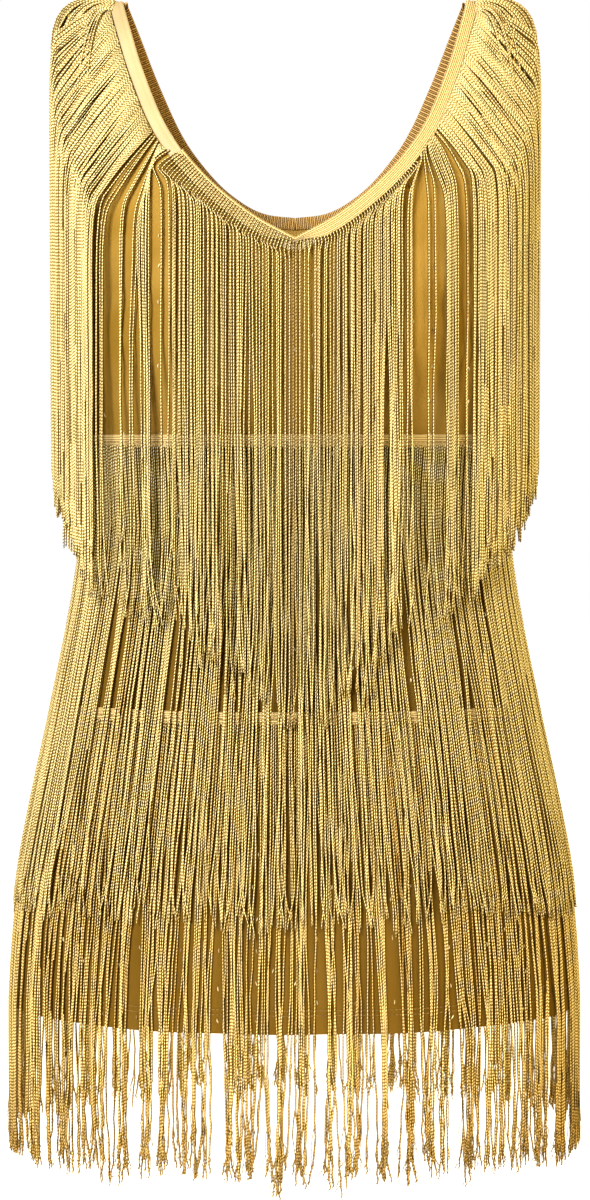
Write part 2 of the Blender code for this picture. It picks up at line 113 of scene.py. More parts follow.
class Crease(NamedTuple):
    """A soft trough or ridge of the cloth in front view: its two ends, its width and how far it rises."""

    x0: float
    z0: float
    x1: float
    z1: float
    width: float
    rise: float


class Lock(NamedTuple):
    """Neighbouring neck strands: shares of the edge they start from, how many, and how they hang."""

    root_from: float
    root_to: float
    strands: int
    bearing_from: float
    bearing_to: float
    turn_from: float
    turn_to: float


class Parting(NamedTuple):
    """A gap that opens between strands: its bearing and full width in degrees, and where it opens."""

    bearing: float
    width: float
    start: float
    full: float


LEVELS = (
    Level(-0.745, 0.2145, 0.1400, 0.1430, 2.15),
    Level(-0.700, 0.2120, 0.1370, 0.1410, 2.15),
    Level(-0.650, 0.2070, 0.1330, 0.1385, 2.15),
    Level(-0.590, 0.1960, 0.1265, 0.1345, 2.20),
    Level(-0.520, 0.1810, 0.1175, 0.1270, 2.25),
    Level(-0.470, 0.1713, 0.1090, 0.1160, 2.30),
    Level(-0.410, 0.1622, 0.0995, 0.1000, 2.35),
    Level(-0.365, 0.1595, 0.0975, 0.0920, 2.40),
    Level(-0.320, 0.1600, 0.1015, 0.0920, 2.50),
    Level(-0.260, 0.1612, 0.1075, 0.0960, 2.60),
    Level(-0.205, 0.1600, 0.1070, 0.1000, 2.65),
    Level(-0.130, 0.1740, 0.1010, 0.0980, 2.60),
    Level(-0.050, 0.1790, 0.0950, 0.0900, 2.50),
    Level(0.010, 0.1800, 0.0900, 0.0850, 2.50),
)
NECK = {
    Face.FRONT: (
        EdgePoint(0.000, 0.0000, -0.1755),
        EdgePoint(0.130, 0.0300, -0.1590),
        EdgePoint(0.275, 0.0605, -0.1345),
        EdgePoint(0.440, 0.0880, -0.1020),
        EdgePoint(0.690, 0.1121, -0.0495),
        EdgePoint(0.865, 0.1240, -0.0120),
        EdgePoint(1.000, 0.1300, 0.0080),
    ),
    Face.BACK: (
        EdgePoint(0.000, 0.0000, -0.1484),
        EdgePoint(0.100, 0.0240, -0.1454),
        EdgePoint(0.250, 0.0528, -0.1298),
        EdgePoint(0.430, 0.0816, -0.0993),
        EdgePoint(0.700, 0.1085, -0.0480),
        EdgePoint(0.865, 0.1220, -0.0130),
        EdgePoint(1.000, 0.1300, 0.0080),
    ),
}
ARMHOLE = (
    EdgePoint(0.000, 0.1600, UNDERARM),
    EdgePoint(0.120, 0.1574, -0.1985),
    EdgePoint(0.250, 0.1532, -0.1780),
    EdgePoint(0.430, 0.1510, -0.1300),
    EdgePoint(0.650, 0.1580, -0.0750),
    EdgePoint(0.865, 0.1665, -0.0220),
    EdgePoint(1.000, 0.1715, 0.0030),
)
SKIRT_FOLDS = (
    Fold(-158, 15, 0.0045),
    Fold(-121, 13, 0.0040),
    Fold(-74, 12, 0.0036),
    Fold(-38, 13, 0.0040),
    Fold(-4, 11, 0.0030),
    Fold(31, 14, 0.0044),
    Fold(69, 12, 0.0034),
    Fold(107, 13, 0.0038),
    Fold(142, 14, 0.0046),
    Fold(177, 12, 0.0036),
)
CREASES = {
    Face.FRONT: (
        Crease(-0.150, -0.212, -0.090, -0.226, 0.0080, -0.0016),
        Crease(-0.146, -0.232, -0.098, -0.262, 0.0065, 0.0012),
        Crease(-0.140, -0.282, -0.104, -0.246, 0.0070, -0.0013),
        Crease(-0.120, -0.186, -0.100, -0.216, 0.0060, 0.0011),
        Crease(0.151, -0.216, 0.096, -0.222, 0.0075, -0.0015),
        Crease(0.145, -0.243, 0.100, -0.270, 0.0068, 0.0013),
        Crease(0.141, -0.291, 0.110, -0.252, 0.0066, -0.0012),
        Crease(0.118, -0.182, 0.104, -0.213, 0.0058, 0.0010),
        Crease(-0.152, -0.352, -0.060, -0.366, 0.0095, 0.0014),
        Crease(-0.149, -0.374, -0.072, -0.382, 0.0080, -0.0013),
        Crease(0.153, -0.357, 0.052, -0.371, 0.0092, 0.0015),
        Crease(0.146, -0.381, 0.078, -0.392, 0.0078, -0.0012),
        Crease(-0.020, -0.205, 0.018, -0.262, 0.0100, -0.0012),
        Crease(-0.050, -0.560, -0.066, -0.690, 0.0105, 0.0015),
        Crease(-0.012, -0.640, -0.018, -0.735, 0.0080, -0.0014),
        Crease(0.028, -0.600, 0.040, -0.725, 0.0090, 0.0013),
        Crease(0.092, -0.570, 0.118, -0.715, 0.0110, -0.0015),
        Crease(-0.120, -0.580, -0.146, -0.720, 0.0105, -0.0015),
        Crease(0.160, -0.610, 0.182, -0.738, 0.0085, 0.0014),
        Crease(-0.168, -0.620, -0.188, -0.738, 0.0085, 0.0013),
    ),
    Face.BACK: (
        Crease(-0.148, -0.215, -0.078, -0.250, 0.0090, -0.0015),
        Crease(0.150, -0.210, 0.070, -0.244, 0.0095, -0.0014),
        Crease(-0.130, -0.270, -0.050, -0.300, 0.0085, 0.0013),
        Crease(0.134, -0.264, 0.058, -0.304, 0.0082, 0.0012),
        Crease(-0.146, -0.352, 0.010, -0.362, 0.0100, 0.0018),
        Crease(0.148, -0.368, -0.030, -0.380, 0.0092, -0.0016),
        Crease(-0.120, -0.394, 0.060, -0.402, 0.0095, 0.0014),
        Crease(0.008, -0.200, -0.006, -0.340, 0.0120, -0.0014),
        Crease(-0.040, -0.560, -0.050, -0.700, 0.0105, -0.0015),
        Crease(0.046, -0.575, 0.060, -0.725, 0.0100, 0.0014),
        Crease(0.110, -0.560, 0.140, -0.705, 0.0110, -0.0014),
        Crease(-0.104, -0.585, -0.136, -0.730, 0.0100, 0.0015),
        Crease(0.004, -0.620, 0.010, -0.738, 0.0085, -0.0013),
        Crease(-0.166, -0.600, -0.190, -0.735, 0.0090, -0.0013),
        Crease(0.164, -0.615, 0.188, -0.736, 0.0088, 0.0013),
    ),
}
RIGHT_OF_WEARER = (
    Lock(0.000, 0.130, 15, 0.4, 11.5, -0.204, -0.190),
    Lock(0.130, 0.275, 17, 11.5, 21.5, -0.190, -0.168),
    Lock(0.275, 0.405, 15, 21.5, 30.2, -0.168, -0.158),
    Lock(0.418, 0.418, 1, 32.3, 32.3, -0.180, -0.180),
    Lock(0.425, 0.452, 9, 35.6, 40.4, -0.186, -0.192),
    Lock(0.458, 0.463, 2, 44.1, 44.9, -0.196, -0.196),
    Lock(0.472, 0.476, 2, 50.7, 51.5, -0.200, -0.200),
    Lock(0.482, 0.482, 1, 52.9, 52.9, -0.200, -0.200),
    Lock(0.490, 0.600, 32, 55.0, 63.0, -0.196, -0.202),
    Lock(0.600, 0.700, 40, 62.5, 70.0, -0.200, -0.187),
    Lock(0.700, 0.800, 40, 69.5, 77.5, -0.187, -0.158),
    Lock(0.800, 0.900, 40, 77.0, 83.5, -0.158, -0.118),
    Lock(0.900, 0.998, 42, 83.0, 88.5, -0.118, -0.062),
)
LEFT_OF_WEARER = (
    Lock(0.000, 0.130, 15, 0.4, 11.2, -0.204, -0.190),
    Lock(0.130, 0.275, 17, 11.2, 20.0, -0.190, -0.168),
    Lock(0.275, 0.385, 14, 20.0, 25.2, -0.168, -0.158),
    Lock(0.400, 0.412, 3, 26.8, 28.2, -0.176, -0.176),
    Lock(0.430, 0.430, 1, 32.3, 32.3, -0.184, -0.184),
    Lock(0.440, 0.440, 1, 34.2, 34.2, -0.188, -0.188),
    Lock(0.448, 0.480, 9, 37.2, 41.0, -0.190, -0.190),
    Lock(0.486, 0.494, 2, 43.0, 44.2, -0.190, -0.190),
    Lock(0.500, 0.508, 3, 45.6, 47.0, -0.190, -0.190),
    Lock(0.510, 0.600, 28, 47.5, 59.0, -0.192, -0.202),
    Lock(0.600, 0.700, 40, 58.5, 69.5, -0.200, -0.187),
    Lock(0.700, 0.800, 40, 69.0, 77.5, -0.187, -0.158),
    Lock(0.800, 0.900, 40, 77.0, 83.5, -0.158, -0.118),
    Lock(0.900, 0.998, 42, 83.0, 88.5, -0.118, -0.062),
)
BACK_HALF = (
    Lock(0.000, 0.150, 15, 0.4, 12.5, -0.176, -0.172),
    Lock(0.150, 0.300, 16, 12.5, 24.0, -0.172, -0.160),
    Lock(0.300, 0.450, 16, 24.0, 37.0, -0.160, -0.150),
    Lock(0.450, 0.600, 24, 37.4, 53.0, -0.158, -0.168),
    Lock(0.600, 0.750, 46, 52.5, 69.0, -0.180, -0.170),
    Lock(0.750, 0.880, 43, 68.5, 80.0, -0.170, -0.124),
    Lock(0.880, 0.998, 40, 79.5, 88.0, -0.124, -0.062),
)
HIP_GAPS = (
    (-64.6, 3.2), (-53.2, 1.8), (-49.0, 1.4), (-43.2, 1.0), (-36.3, 1.2), (-31.9, 1.1), (-27.3, 0.9),
    (-22.8, 1.5), (-20.3, 1.3), (-15.2, 2.9), (-6.7, 1.3), (-4.6, 2.1), (-0.4, 1.8), (4.6, 2.8),
    (8.2, 2.1), (14.4, 2.6), (19.5, 1.3), (25.0, 1.4), (31.0, 1.2), (38.0, 1.5), (45.0, 1.3),
    (51.6, 2.2), (65.5, 4.6),
)
HIP_PARTINGS = tuple(Parting(bearing, width, GAPS_START, GAPS_FULL) for bearing, width in HIP_GAPS)


def smooth(at: Array, stations: Array, values: Array) -> Array:
    """Read a table as a cubic curve whose slope at each row comes from its neighbours.

    Args:
        at: where to read.
        stations: the rising first column.
        values: the column that is read.

    Returns:
        The values, of at's shape.
    """
    stations = np.asarray(stations, float)
    values = np.asarray(values, float)
    at = np.clip(at, stations[0], stations[-1])
    slopes = np.gradient(values, stations)
    low = np.clip(np.searchsorted(stations, at, side="right") - 1, 0, len(stations) - 2)
    span = stations[low + 1] - stations[low]
    t = (at - stations[low]) / span
    start = (1 + 2 * t) * (1 - t) ** 2 * values[low] + t * (1 - t) ** 2 * span * slopes[low]
    end = t * t * (3 - 2 * t) * values[low + 1] + t * t * (t - 1) * span * slopes[low + 1]
    return start + end


def column(table: tuple, first: str, name: str, at: Array) -> Array:
    """Read one named column of a table at any value of its first column."""
    return smooth(at, [getattr(row, first) for row in table], [getattr(row, name) for row in table])


def ease(at: Array, start: float, end: float) -> Array:
    """Rise from 0 at start to 1 at end along a smooth step, 3t^2 - 2t^3."""
    t = np.clip((at - start) / (end - start), 0, 1)
    return t * t * (3 - 2 * t)


def unit(vectors: Array) -> Array:
    """Scale vectors along the last axis to length one."""
    return vectors / np.maximum(np.linalg.norm(vectors, axis=-1, keepdims=True), 1e-12)


def between(corners: list[Array], up: Array, across: Array) -> Array:
    """Read in a straight line both ways between four points of a grid.

    Args:
        corners: the values at two points and then at the two above them.
        up: share of the way up.
        across: share of the way across.

    Returns:
        The values there.
    """
    below, above = (a * (1 - across) + b * across for a, b in (corners[:2], corners[2:]))
    return below * (1 - up) + above * up


@dataclass
class Form:
    """The outer face of the cloth, as a distance from the plane through the side seams.

    stand_off is a superellipse across the body, times an arch that closes it at the shoulder, plus a
    rounded rise on each side of the front for the bust.
    """

    seam_at_neck: tuple = (0.1300, 0.0080)
    seam_at_arm: tuple = (0.1715, 0.0030)
    arch_drop: float = 0.20
    arch_round: float = 0.55
    cup_x: float = 0.078
    cup_z: float = -0.238
    cup_rise: float = 0.010
    cup_wide: float = 0.038
    cup_tall: float = 0.046
    fine: int = 160

    def measure(self, name: str, z: Array) -> Array:
        """One measure of the cloth's section at height z."""
        return column(LEVELS, "height", name, z)

    def seam_height(self, x: Array) -> Array:
        """Height of the shoulder line over x."""
        (x0, z0), (x1, z1) = self.seam_at_neck, self.seam_at_arm
        return z0 + (z1 - z0) * np.clip((x - x0) / (x1 - x0), 0, None)

    def stand_off(self, face: Face, x: Array, z: Array) -> Array:
        """Distance of the cloth from the seam plane at x and z, in the class's formula.

        Args:
            face: front or back.
            x: distance across, of either sign.
            z: height.

        Returns:
            The distance, of x's shape.
        """
        x = np.abs(x)
        power = self.measure("squareness", z)
        flat = (1 - np.clip(x / self.measure("half_width", z), 0, 1) ** power) ** (1 / power)
        below = np.clip((self.seam_height(x) - z) / self.arch_drop, 0, 1)
        out = self.measure(face.name.lower(), z) * flat * (1 - (1 - below) ** 2) ** self.arch_round
        if face is Face.FRONT:
            across = (x - self.cup_x) / self.cup_wide
            up = (z - self.cup_z) / self.cup_tall
            out = out + self.cup_rise * np.exp(-(across**2) - up**2)
        return out

    def on_form(self, face: Face, x: Array, z: Array, lift: Array) -> tuple[Array, Array]:
        """Points at x and z, moved out along the surface normal by lift, with that normal.

        Args:
            face: front or back.
            x: distance across.
            z: height.
            lift: distance out from the cloth.

        Returns:
            Points and unit normals.
        """
        step = 2e-5
        out = self.stand_off(face, x, z)
        ahead = self.stand_off(face, np.abs(x) + step, z)
        behind = self.stand_off(face, np.abs(x) - step, z)
        by_x = (ahead - behind) / (2 * step)
        by_z = (out - self.stand_off(face, x, z - step)) / step
        normal = unit(np.stack([-by_x * np.sign(x), face.value * np.ones_like(out), -by_z], axis=-1))
        point = np.stack([x, face.value * (out + SEAM_GAP / 2), z], axis=-1)
        return point + normal * (lift + 0 * out)[..., None], normal

    def fold_rise(self, bearing: Array, z: Array) -> Array:
        """Height of the skirt's folds: a sum of bells round the wearer that grows towards the hem.

        Args:
            bearing: degrees from the middle front.
            z: height.

        Returns:
            Metres out from the form.
        """
        folds = np.array(SKIRT_FOLDS)
        away = (bearing[..., None] - folds[:, 0] + 180) % 360 - 180
        return (folds[:, 2] * np.exp(-((away / folds[:, 1]) ** 2))).sum(-1) * ease(-z, -FOLDS_START, -HEM)

    def edge(self, face: Face, share: Array, hand: Array, inset: Array) -> tuple[Array, Array]:
        """x and z at a distance from the neck edge, square to it in front view.

        Args:
            face: front or back.
            share: way along the edge, 0 at the middle and 1 at the shoulder.
            hand: -1 for the wearer's right, +1 for the left.
            inset: distance from the edge into the cloth.

        Returns:
            x and z, of share's shape.
        """
        step = 1e-3
        table = NECK[face]
        x, z = (column(table, "share", name, share) for name in ("x", "z"))
        ahead = [column(table, "share", name, np.minimum(share + step, 1)) for name in ("x", "z")]
        behind = [column(table, "share", name, np.maximum(share - step, 0)) for name in ("x", "z")]
        along = np.stack([ahead[0] - behind[0], ahead[1] - behind[1]])
        along = along / np.linalg.norm(along, axis=0)
        return hand * (x + along[1] * inset), z - along[0] * inset

    def edge_line(self, face: Face, first: float, steps: int) -> tuple[Array, Array, Array]:
        """Share, hand and distance along the neck edge, up to the wearer's left shoulder.

        Args:
            face: front or back.
            first: where it starts, below 0 on the wearer's right and -1 at that shoulder.
            steps: how many stations.

        Returns:
            Those three, one value a station.
        """
        share = np.linspace(first, 1.0, steps)
        hand = np.where(share < 0, -1.0, 1.0)
        share = np.abs(share)
        x, z = self.edge(face, share, hand, 0.0 * share)
        return share, hand, np.concatenate([[0], np.cumsum(np.hypot(np.diff(x), np.diff(z)))])

    def strip(self, face: Face, line: tuple, section: list, across: Array) -> Shape:
        """A strip along a neck edge: its section, as pairs of inset and lift, carried along the edge.

        Args:
            face: front or back.
            line: what edge_line gives.
            section: inset from the edge and lift off the cloth, all round.
            across: distance round the section at each pair, with the closing one.

        Returns:
            Vertices, face groups and UV groups, facing out.
        """
        share, hand, along = line
        ring = []
        for inset, lift in section:
            x, z = self.edge(face, share, hand, inset + 0 * share)
            ring.append(self.on_form(face, x, z, lift + 0 * share)[0])
        return facing_out(*profile_strip(np.stack(ring, axis=1), across, along))

    def half_grid(self, face: Face, hand: int, v: Array, columns: int) -> Array:
        """Rows of points from the side or armhole edge to the middle or neck, evenly spaced by length.

        A row eases from its outer to its inner end as 1 - cos, is laid on the form, swells with the
        folds, and is read again at even lengths.

        Args:
            face: front or back.
            hand: -1 for the wearer's right, +1 for the left.
            v: one value a row, 0 at the hem, 1 at the underarm, 2 at the shoulder seam.
            columns: spaces across.

        Returns:
            Points, rows by columns + 1 by 3.
        """
        v = np.asarray(v, float)[:, None]
        height = HEM + (UNDERARM - HEM) * np.minimum(v, 1)
        tilt = np.clip((height - TILT_START) / (UNDERARM - TILT_START), 0, 1) ** 1.5
        upper = np.maximum(v - 1, 0)
        low = v <= 1
        outer_x = np.where(low, self.measure("half_width", height), column(ARMHOLE, "share", "x", upper))
        outer_z = np.where(low, height, column(ARMHOLE, "share", "z", upper))
        inner_x = np.where(low, 0.0, column(NECK[face], "share", "x", upper))
        middle_z = height + (NECK[face][0].z - UNDERARM) * tilt
        inner_z = np.where(low, middle_z, column(NECK[face], "share", "z", upper))
        inward = 1 - np.cos(np.linspace(0, np.pi / 2, self.fine + 1))[None]
        x = outer_x + (inner_x - outer_x) * inward
        z = outer_z + (inner_z - outer_z) * inward
        y = face.value * self.stand_off(face, x, z)
        bearing = np.degrees(np.arctan2(hand * x, -y))
        swell = 1 + self.fold_rise(bearing, z) / np.maximum(np.hypot(x, y), 1e-6)
        dense = np.stack([hand * x * swell, y * swell + face.value * SEAM_GAP / 2, z], axis=-1)
        along = np.cumsum(np.linalg.norm(np.diff(dense, axis=1), axis=-1), axis=1)
        along = np.concatenate([np.zeros((len(v), 1)), along], axis=1)
        even = np.linspace(0, 1, columns + 1)[None] * along[:, -1:]
        at = np.clip((along[:, None, :] <= even[:, :, None]).sum(-1) - 1, 0, self.fine - 1)
        start = np.take_along_axis(along, at, 1)
        t = ((even - start) / (np.take_along_axis(along, at + 1, 1) - start))[..., None]
        before = np.take_along_axis(dense, at[..., None], 1)
        after = np.take_along_axis(dense, at[..., None] + 1, 1)
        return before * (1 - t) + after * t


def hex_colour(code: str) -> tuple[float, float, float, float]:
    """Turn an sRGB hex code into the linear colour that the shaders use."""
    parts = [int(code[k : k + 2], 16) / 255 for k in (1, 3, 5)]
    return (*[p / 12.92 if p <= 0.04045 else ((p + 0.055) / 1.055) ** 2.4 for p in parts], 1.0)


def add_node(tree: bpy.types.NodeTree, kind: str, settings: dict, links: dict) -> bpy.types.Node:
    """Add one node with its settings and links.

    Args:
        tree: the material's node tree.
        kind: the node's type name.
        settings: values by attribute name, or by input name or number.
        links: output sockets by input name or number.

    Returns:
        The node.
    """
    node = tree.nodes.new(kind)
    for key, value in settings.items():
        if isinstance(key, int) or key in node.inputs:
            node.inputs[key].default_value = value
        else:
            setattr(node, key, value)
    for key, source in links.items():
        tree.links.new(source, node.inputs[key])
    return node


class Dye:
    """A material under construction: a Principled shader and short calls for its patterns."""

    def __init__(self, name: str, **surface: float) -> None:
        """Start a material whose constants are set on the shader's own sockets.

        Args:
            name: the finish's name.
            surface: socket values, with _ for each space in a socket's name.
        """
        self.material = bpy.data.materials.new(name)
        self.material.use_nodes = True
        self.tree = self.material.node_tree
        self.shader = self.tree.nodes["Principled BSDF"]
        for key, value in surface.items():
            self.shader.inputs[key.replace("_", " ")].default_value = value

    def add(self, kind: str, settings: dict | None = None, links: dict | None = None) -> bpy.types.Node:
        """Add a node to this material."""
        return add_node(self.tree, kind, settings or {}, links or {})

    def uv(self) -> Socket:
        """The piece's own UV map, in metres along the cloth or the yarn."""
        return self.add("ShaderNodeUVMap", {"uv_map": "cloth"}).outputs["UV"]

    def place(self) -> Socket:
        """Object coordinates."""
        return self.add("ShaderNodeTexCoord").outputs["Object"]

    def stretch(self, vector: Socket, scale: tuple, turn: float = 0.0) -> Socket:
        """A vector scaled, after a turn in radians about z."""
        turned = self.add("ShaderNodeMapping", {"Rotation": (0, 0, turn)}, {"Vector": vector}).outputs[0]
        return self.add("ShaderNodeMapping", {"Scale": scale}, {"Vector": turned}).outputs[0]

    def wave(self, vector: Socket, pitch: float, direction: str = "X") -> Socket:
        """Sine lines with a pitch in the vector's own unit, from 0 to 1."""
        settings = {"wave_type": "BANDS", "bands_direction": direction, "Scale": 2 * np.pi / 10 / pitch}
        return self.add("ShaderNodeTexWave", settings, {"Vector": vector}).outputs["Fac"]

    def noise(self, vector: Socket, scale: float, detail: float = 3.0) -> Socket:
        """Soft noise, from 0 to 1, with its mean near a half."""
        settings = {"Scale": scale, "Detail": detail}
        return self.add("ShaderNodeTexNoise", settings, {"Vector": vector}).outputs["Fac"]

    def math(self, how: str, a: object, b: object = 0.0) -> Socket:
        """One sum of two sockets or numbers.

        Args:
            how: the node's operation.
            a: the first socket or number.
            b: the second, where the operation takes one.

        Returns:
            The result's socket.
        """
        settings, links = {"operation": how}, {}
        for key, value in ((0, a), (1, b)):
            (links if isinstance(value, Socket) else settings)[key] = value
        return self.add("ShaderNodeMath", settings, links).outputs[0]

    def span(self, value: Socket, low: float, high: float) -> Socket:
        """Map low..high to 0..1, held inside those ends."""
        settings = {"From Min": low, "From Max": high}
        return self.add("ShaderNodeMapRange", settings, {"Value": value}).outputs["Result"]

    def blend(self, factor: Socket, a: object, b: object, how: str = "MIX") -> Socket:
        """Mix two colours, each a hex code or a socket, by a factor.

        Args:
            factor: 0 for the first colour, 1 for the second.
            a: the first.
            b: the second.
            how: the way of mixing.

        Returns:
            The colour's socket.
        """
        settings, links = {"data_type": "RGBA", "blend_type": how}, {0: factor}
        for key, value in ((6, a), (7, b)):
            if isinstance(value, str):
                settings[key] = hex_colour(value)
            else:
                links[key] = value
        return self.add("ShaderNodeMix", settings, links).outputs[2]

    def finish(self, colour: Socket, height: Socket, depth: float) -> Material:
        """Join the colour and a bump of that depth in metres to the shader.

        Args:
            colour: the base colour.
            height: the relief, from 0 to 1.
            depth: the relief's depth.

        Returns:
            The finished material.
        """
        self.tree.links.new(colour, self.shader.inputs["Base Color"])
        bump = self.add("ShaderNodeBump", {"Distance": depth, "Strength": 1.0}, {"Height": height})
        self.tree.links.new(bump.outputs["Normal"], self.shader.inputs["Normal"])
        return self.material


@dataclass(frozen=True)
class TwistedYarn:
    """Viscose chainette yarn, looped and twisted: slanting plies with a painted highlight on each crest,
    painted shade in the grooves between and painted shade down each strand's sides.

    The real twist of about 1.5 mm is drawn at 2.4 mm, so that it still shows in a full view.
    """

    name: str = "twisted viscose fringe yarn, pale gold"
    # light is a painted highlight on the ply crests; groove is painted shade in the ply grooves and down
    # the strand's sides
    light: str = "#fff6c0"
    body: str = "#ebce6c"
    groove: str = "#523600"
    deep: str = "#b28414"
    pitch: float = 0.0024
    roughness: float = 0.42

    def material(self) -> Material:
        """Ply lines slant round the strand: a sine of length over pitch plus the turn round it.

        Returns:
            The material.
        """
        dye = Dye(self.name, Roughness=self.roughness, Specular_IOR_Level=0.15)
        plies = dye.wave(dye.stretch(dye.uv(), (1.0, 1 / self.pitch, 1.0)), 1.0, "DIAGONAL")
        tone = dye.add("ShaderNodeAttribute", {"attribute_name": "tone"}).outputs["Fac"]
        body = dye.blend(tone, self.deep, self.body)
        # Painted highlight on the ply crests, stronger on strands of higher tone
        lit = dye.math("MULTIPLY", dye.span(plies, 0.40, 0.95), dye.span(tone, -0.35, 0.65))
        raised = dye.blend(lit, body, self.light)
        # Painted shade in the grooves between the plies
        colour = dye.blend(dye.math("MULTIPLY", dye.span(plies, 0.36, 0.04), 0.8), raised, self.groove)
        # Painted shade down the strand's sides, away from the edge that faces out: the shade neighbouring
        # strands cast on each other
        round_it = dye.add("ShaderNodeSeparateXYZ", {}, {0: dye.uv()}).outputs["X"]
        side = dye.math("COSINE", dye.math("MULTIPLY", round_it, 4 * np.pi))
        colour = dye.blend(dye.math("MULTIPLY", dye.span(side, 0.45, -0.60), 0.96), colour, self.groove)
        return dye.finish(colour, plies, 0.0006)


@dataclass(frozen=True)
class StretchKnit:
    """Polyester stretch knit with a fine slanting rib: matt ochre, with painted shade in the rib grooves
    and painted shade that darkens it down the skirt, under the fringe.
    """

    name: str = "stretch knit, ochre gold"
    light: str = "#c59e4a"
    body: str = "#9c7723"
    # dark is painted shade in the rib grooves, and also the random darker grain
    dark: str = "#4d3400"
    # The skirt colour is painted shade: it darkens the cloth downwards, under the fringe
    skirt: str = "#5a3f03"
    rib: float = 0.0019
    # Heights where the skirt's painted shade begins and where it is fullest
    painted_shade_from: float = -0.15
    painted_shade_full_at: float = -0.47

    def material(self) -> Material:
        """Rib lines at 1.9 mm, turned 40 degrees, with painted shade in them, over mottling and grain, and
        painted shade that darkens the skirt.

        Returns:
            The material.
        """
        dye = Dye(self.name, Roughness=0.85, Specular_IOR_Level=0.1)
        ribs = dye.wave(dye.stretch(dye.uv(), (1, 1, 1), np.radians(40)), self.rib, "X")
        grain = dye.noise(dye.stretch(dye.uv(), (1500, 500, 1)), 1.0, 2.0)
        cloud = dye.span(dye.noise(dye.place(), 16.0, 2.0), 0.3, 0.7)
        colour = dye.blend(cloud, self.body, self.light)
        # Painted shade: the cloth is painted darker with falling height, where the fringe shades the skirt
        height = dye.add("ShaderNodeSeparateXYZ", {}, {0: dye.place()}).outputs["Z"]
        deeper = dye.span(height, self.painted_shade_from, self.painted_shade_full_at)
        colour = dye.blend(dye.math("MULTIPLY", deeper, 0.86), colour, self.skirt)
        # Painted shade in the grooves of the ribs
        colour = dye.blend(dye.math("MULTIPLY", dye.span(ribs, 0.5, 0.0), 0.60), colour, self.dark)
        colour = dye.blend(dye.math("MULTIPLY", grain, 0.3), colour, self.dark)
        relief = dye.math("ADD", ribs, dye.math("MULTIPLY", grain, 0.5))
        return dye.finish(colour, relief, 0.00025)


@dataclass(frozen=True)
class WovenTape:
    """Woven fringe tape: close weft rows along it, crossed by the loops of the strands."""

    name: str = "woven fringe tape, gold"
    # dark is painted shade between rows and loops, and also the random darker grain
    light: str = "#f2da94"
    dark: str = "#7d5a16"
    row: float = 0.0026
    loop: float = LOOP_PITCH

    def material(self) -> Material:
        """Rows at 2.6 mm along the tape, crossed by fainter loops at 2.2 mm, with painted shade in the dips
        between them.

        Returns:
            The material.
        """
        dye = Dye(self.name, Roughness=0.55, Sheen_Weight=0.05)
        rows = dye.wave(dye.uv(), self.row, "Y")
        loops = dye.wave(dye.uv(), self.loop, "X")
        weave = dye.math("ADD", dye.math("MULTIPLY", rows, 0.8), dye.math("MULTIPLY", loops, 0.2))
        grain = dye.noise(dye.place(), 900.0, 2.0)
        # Painted shade in the dips between the weft rows and the loops
        colour = dye.blend(dye.span(weave, 0.15, 0.8), self.dark, self.light)
        colour = dye.blend(dye.math("MULTIPLY", grain, 0.3), colour, self.dark)
        return dye.finish(colour, weave, 0.0004)


@dataclass(frozen=True)
class SatinBand:
    """Satin-faced binding, folded over the edge: smooth, pale cream, with a soft gleam along it."""

    name: str = "satin binding, cream gold"
    light: str = "#b8a67c"
    body: str = "#a8936a"

    def material(self) -> Material:
        """Fine warp threads along the band and a slow change of tone.

        Returns:
            The material.
        """
        dye = Dye(self.name, Roughness=0.55, Specular_IOR_Level=0.25, Anisotropic=0.4)
        threads = dye.noise(dye.stretch(dye.uv(), (260, 3200, 1)), 1.0, 1.0)
        slow = dye.span(dye.noise(dye.place(), 30.0, 2.0), 0.35, 0.65)
        colour = dye.blend(dye.math("MULTIPLY", dye.math("ADD", threads, slow), 0.5), self.body, self.light)
        return dye.finish(colour, threads, 0.00006)


@dataclass(frozen=True)
class RibElastic:
    """Ribbed elastic binding: dark ochre cords side by side, matt, with painted shade in each groove and a
    painted highlight on each crest.
    """

    name: str = "ribbed elastic trim, dark ochre"
    # light is a painted highlight on the rib crests; dark is painted shade in the grooves
    light: str = "#dcb76c"
    body: str = "#b3863a"
    dark: str = "#3f2700"

    def material(self) -> Material:
        """Yarn grain over the modelled ribs, with painted shade where the rib lines of the UV map dip and a
        painted highlight on their crests.

        Returns:
            The material.
        """
        dye = Dye(self.name, Roughness=0.72, Sheen_Weight=0.05)
        ribs = dye.wave(dye.uv(), RIB_PITCH, "X")
        grain = dye.noise(dye.place(), 700.0, 2.0)
        # Painted shade in the grooves between the ribs
        colour = dye.blend(dye.span(ribs, 0.15, 0.65), self.dark, self.body)
        # Painted highlight on the crests of the ribs
        colour = dye.blend(dye.math("MULTIPLY", dye.span(ribs, 0.7, 1.0), 0.8), colour, self.light)
        return dye.finish(colour, grain, 0.0002)


@dataclass(frozen=True)
class SewingThread:
    """Spun polyester thread, two tones: small round stitches with a dull gleam."""

    name: str
    light: str
    dark: str

    def material(self) -> Material:
        """A fine twist along each stitch.

        Returns:
            The material.
        """
        dye = Dye(self.name, Roughness=0.5, Sheen_Weight=0.05)
        grain = dye.noise(dye.place(), 70.0, 1.0)
        return dye.finish(dye.blend(dye.span(grain, 0.35, 0.65), self.dark, self.light), grain, 0.0001)


@dataclass(frozen=True)
class StudioPaper:
    """Seamless white paper: matt, with barely any tooth."""

    name: str = "seamless studio paper, white"

    def material(self) -> Material:
        """A trace of paper grain, with the glow that lights under it give.

        Returns:
            The material.
        """
        dye = Dye(self.name, Roughness=0.9, Emission_Strength=1.0)
        dye.shader.inputs["Emission Color"].default_value = (1, 1, 1, 1)
        grain = dye.noise(dye.place(), 40.0, 2.0)
        return dye.finish(dye.blend(grain, "#f6f6f6", "#ffffff"), grain, 0.0001)


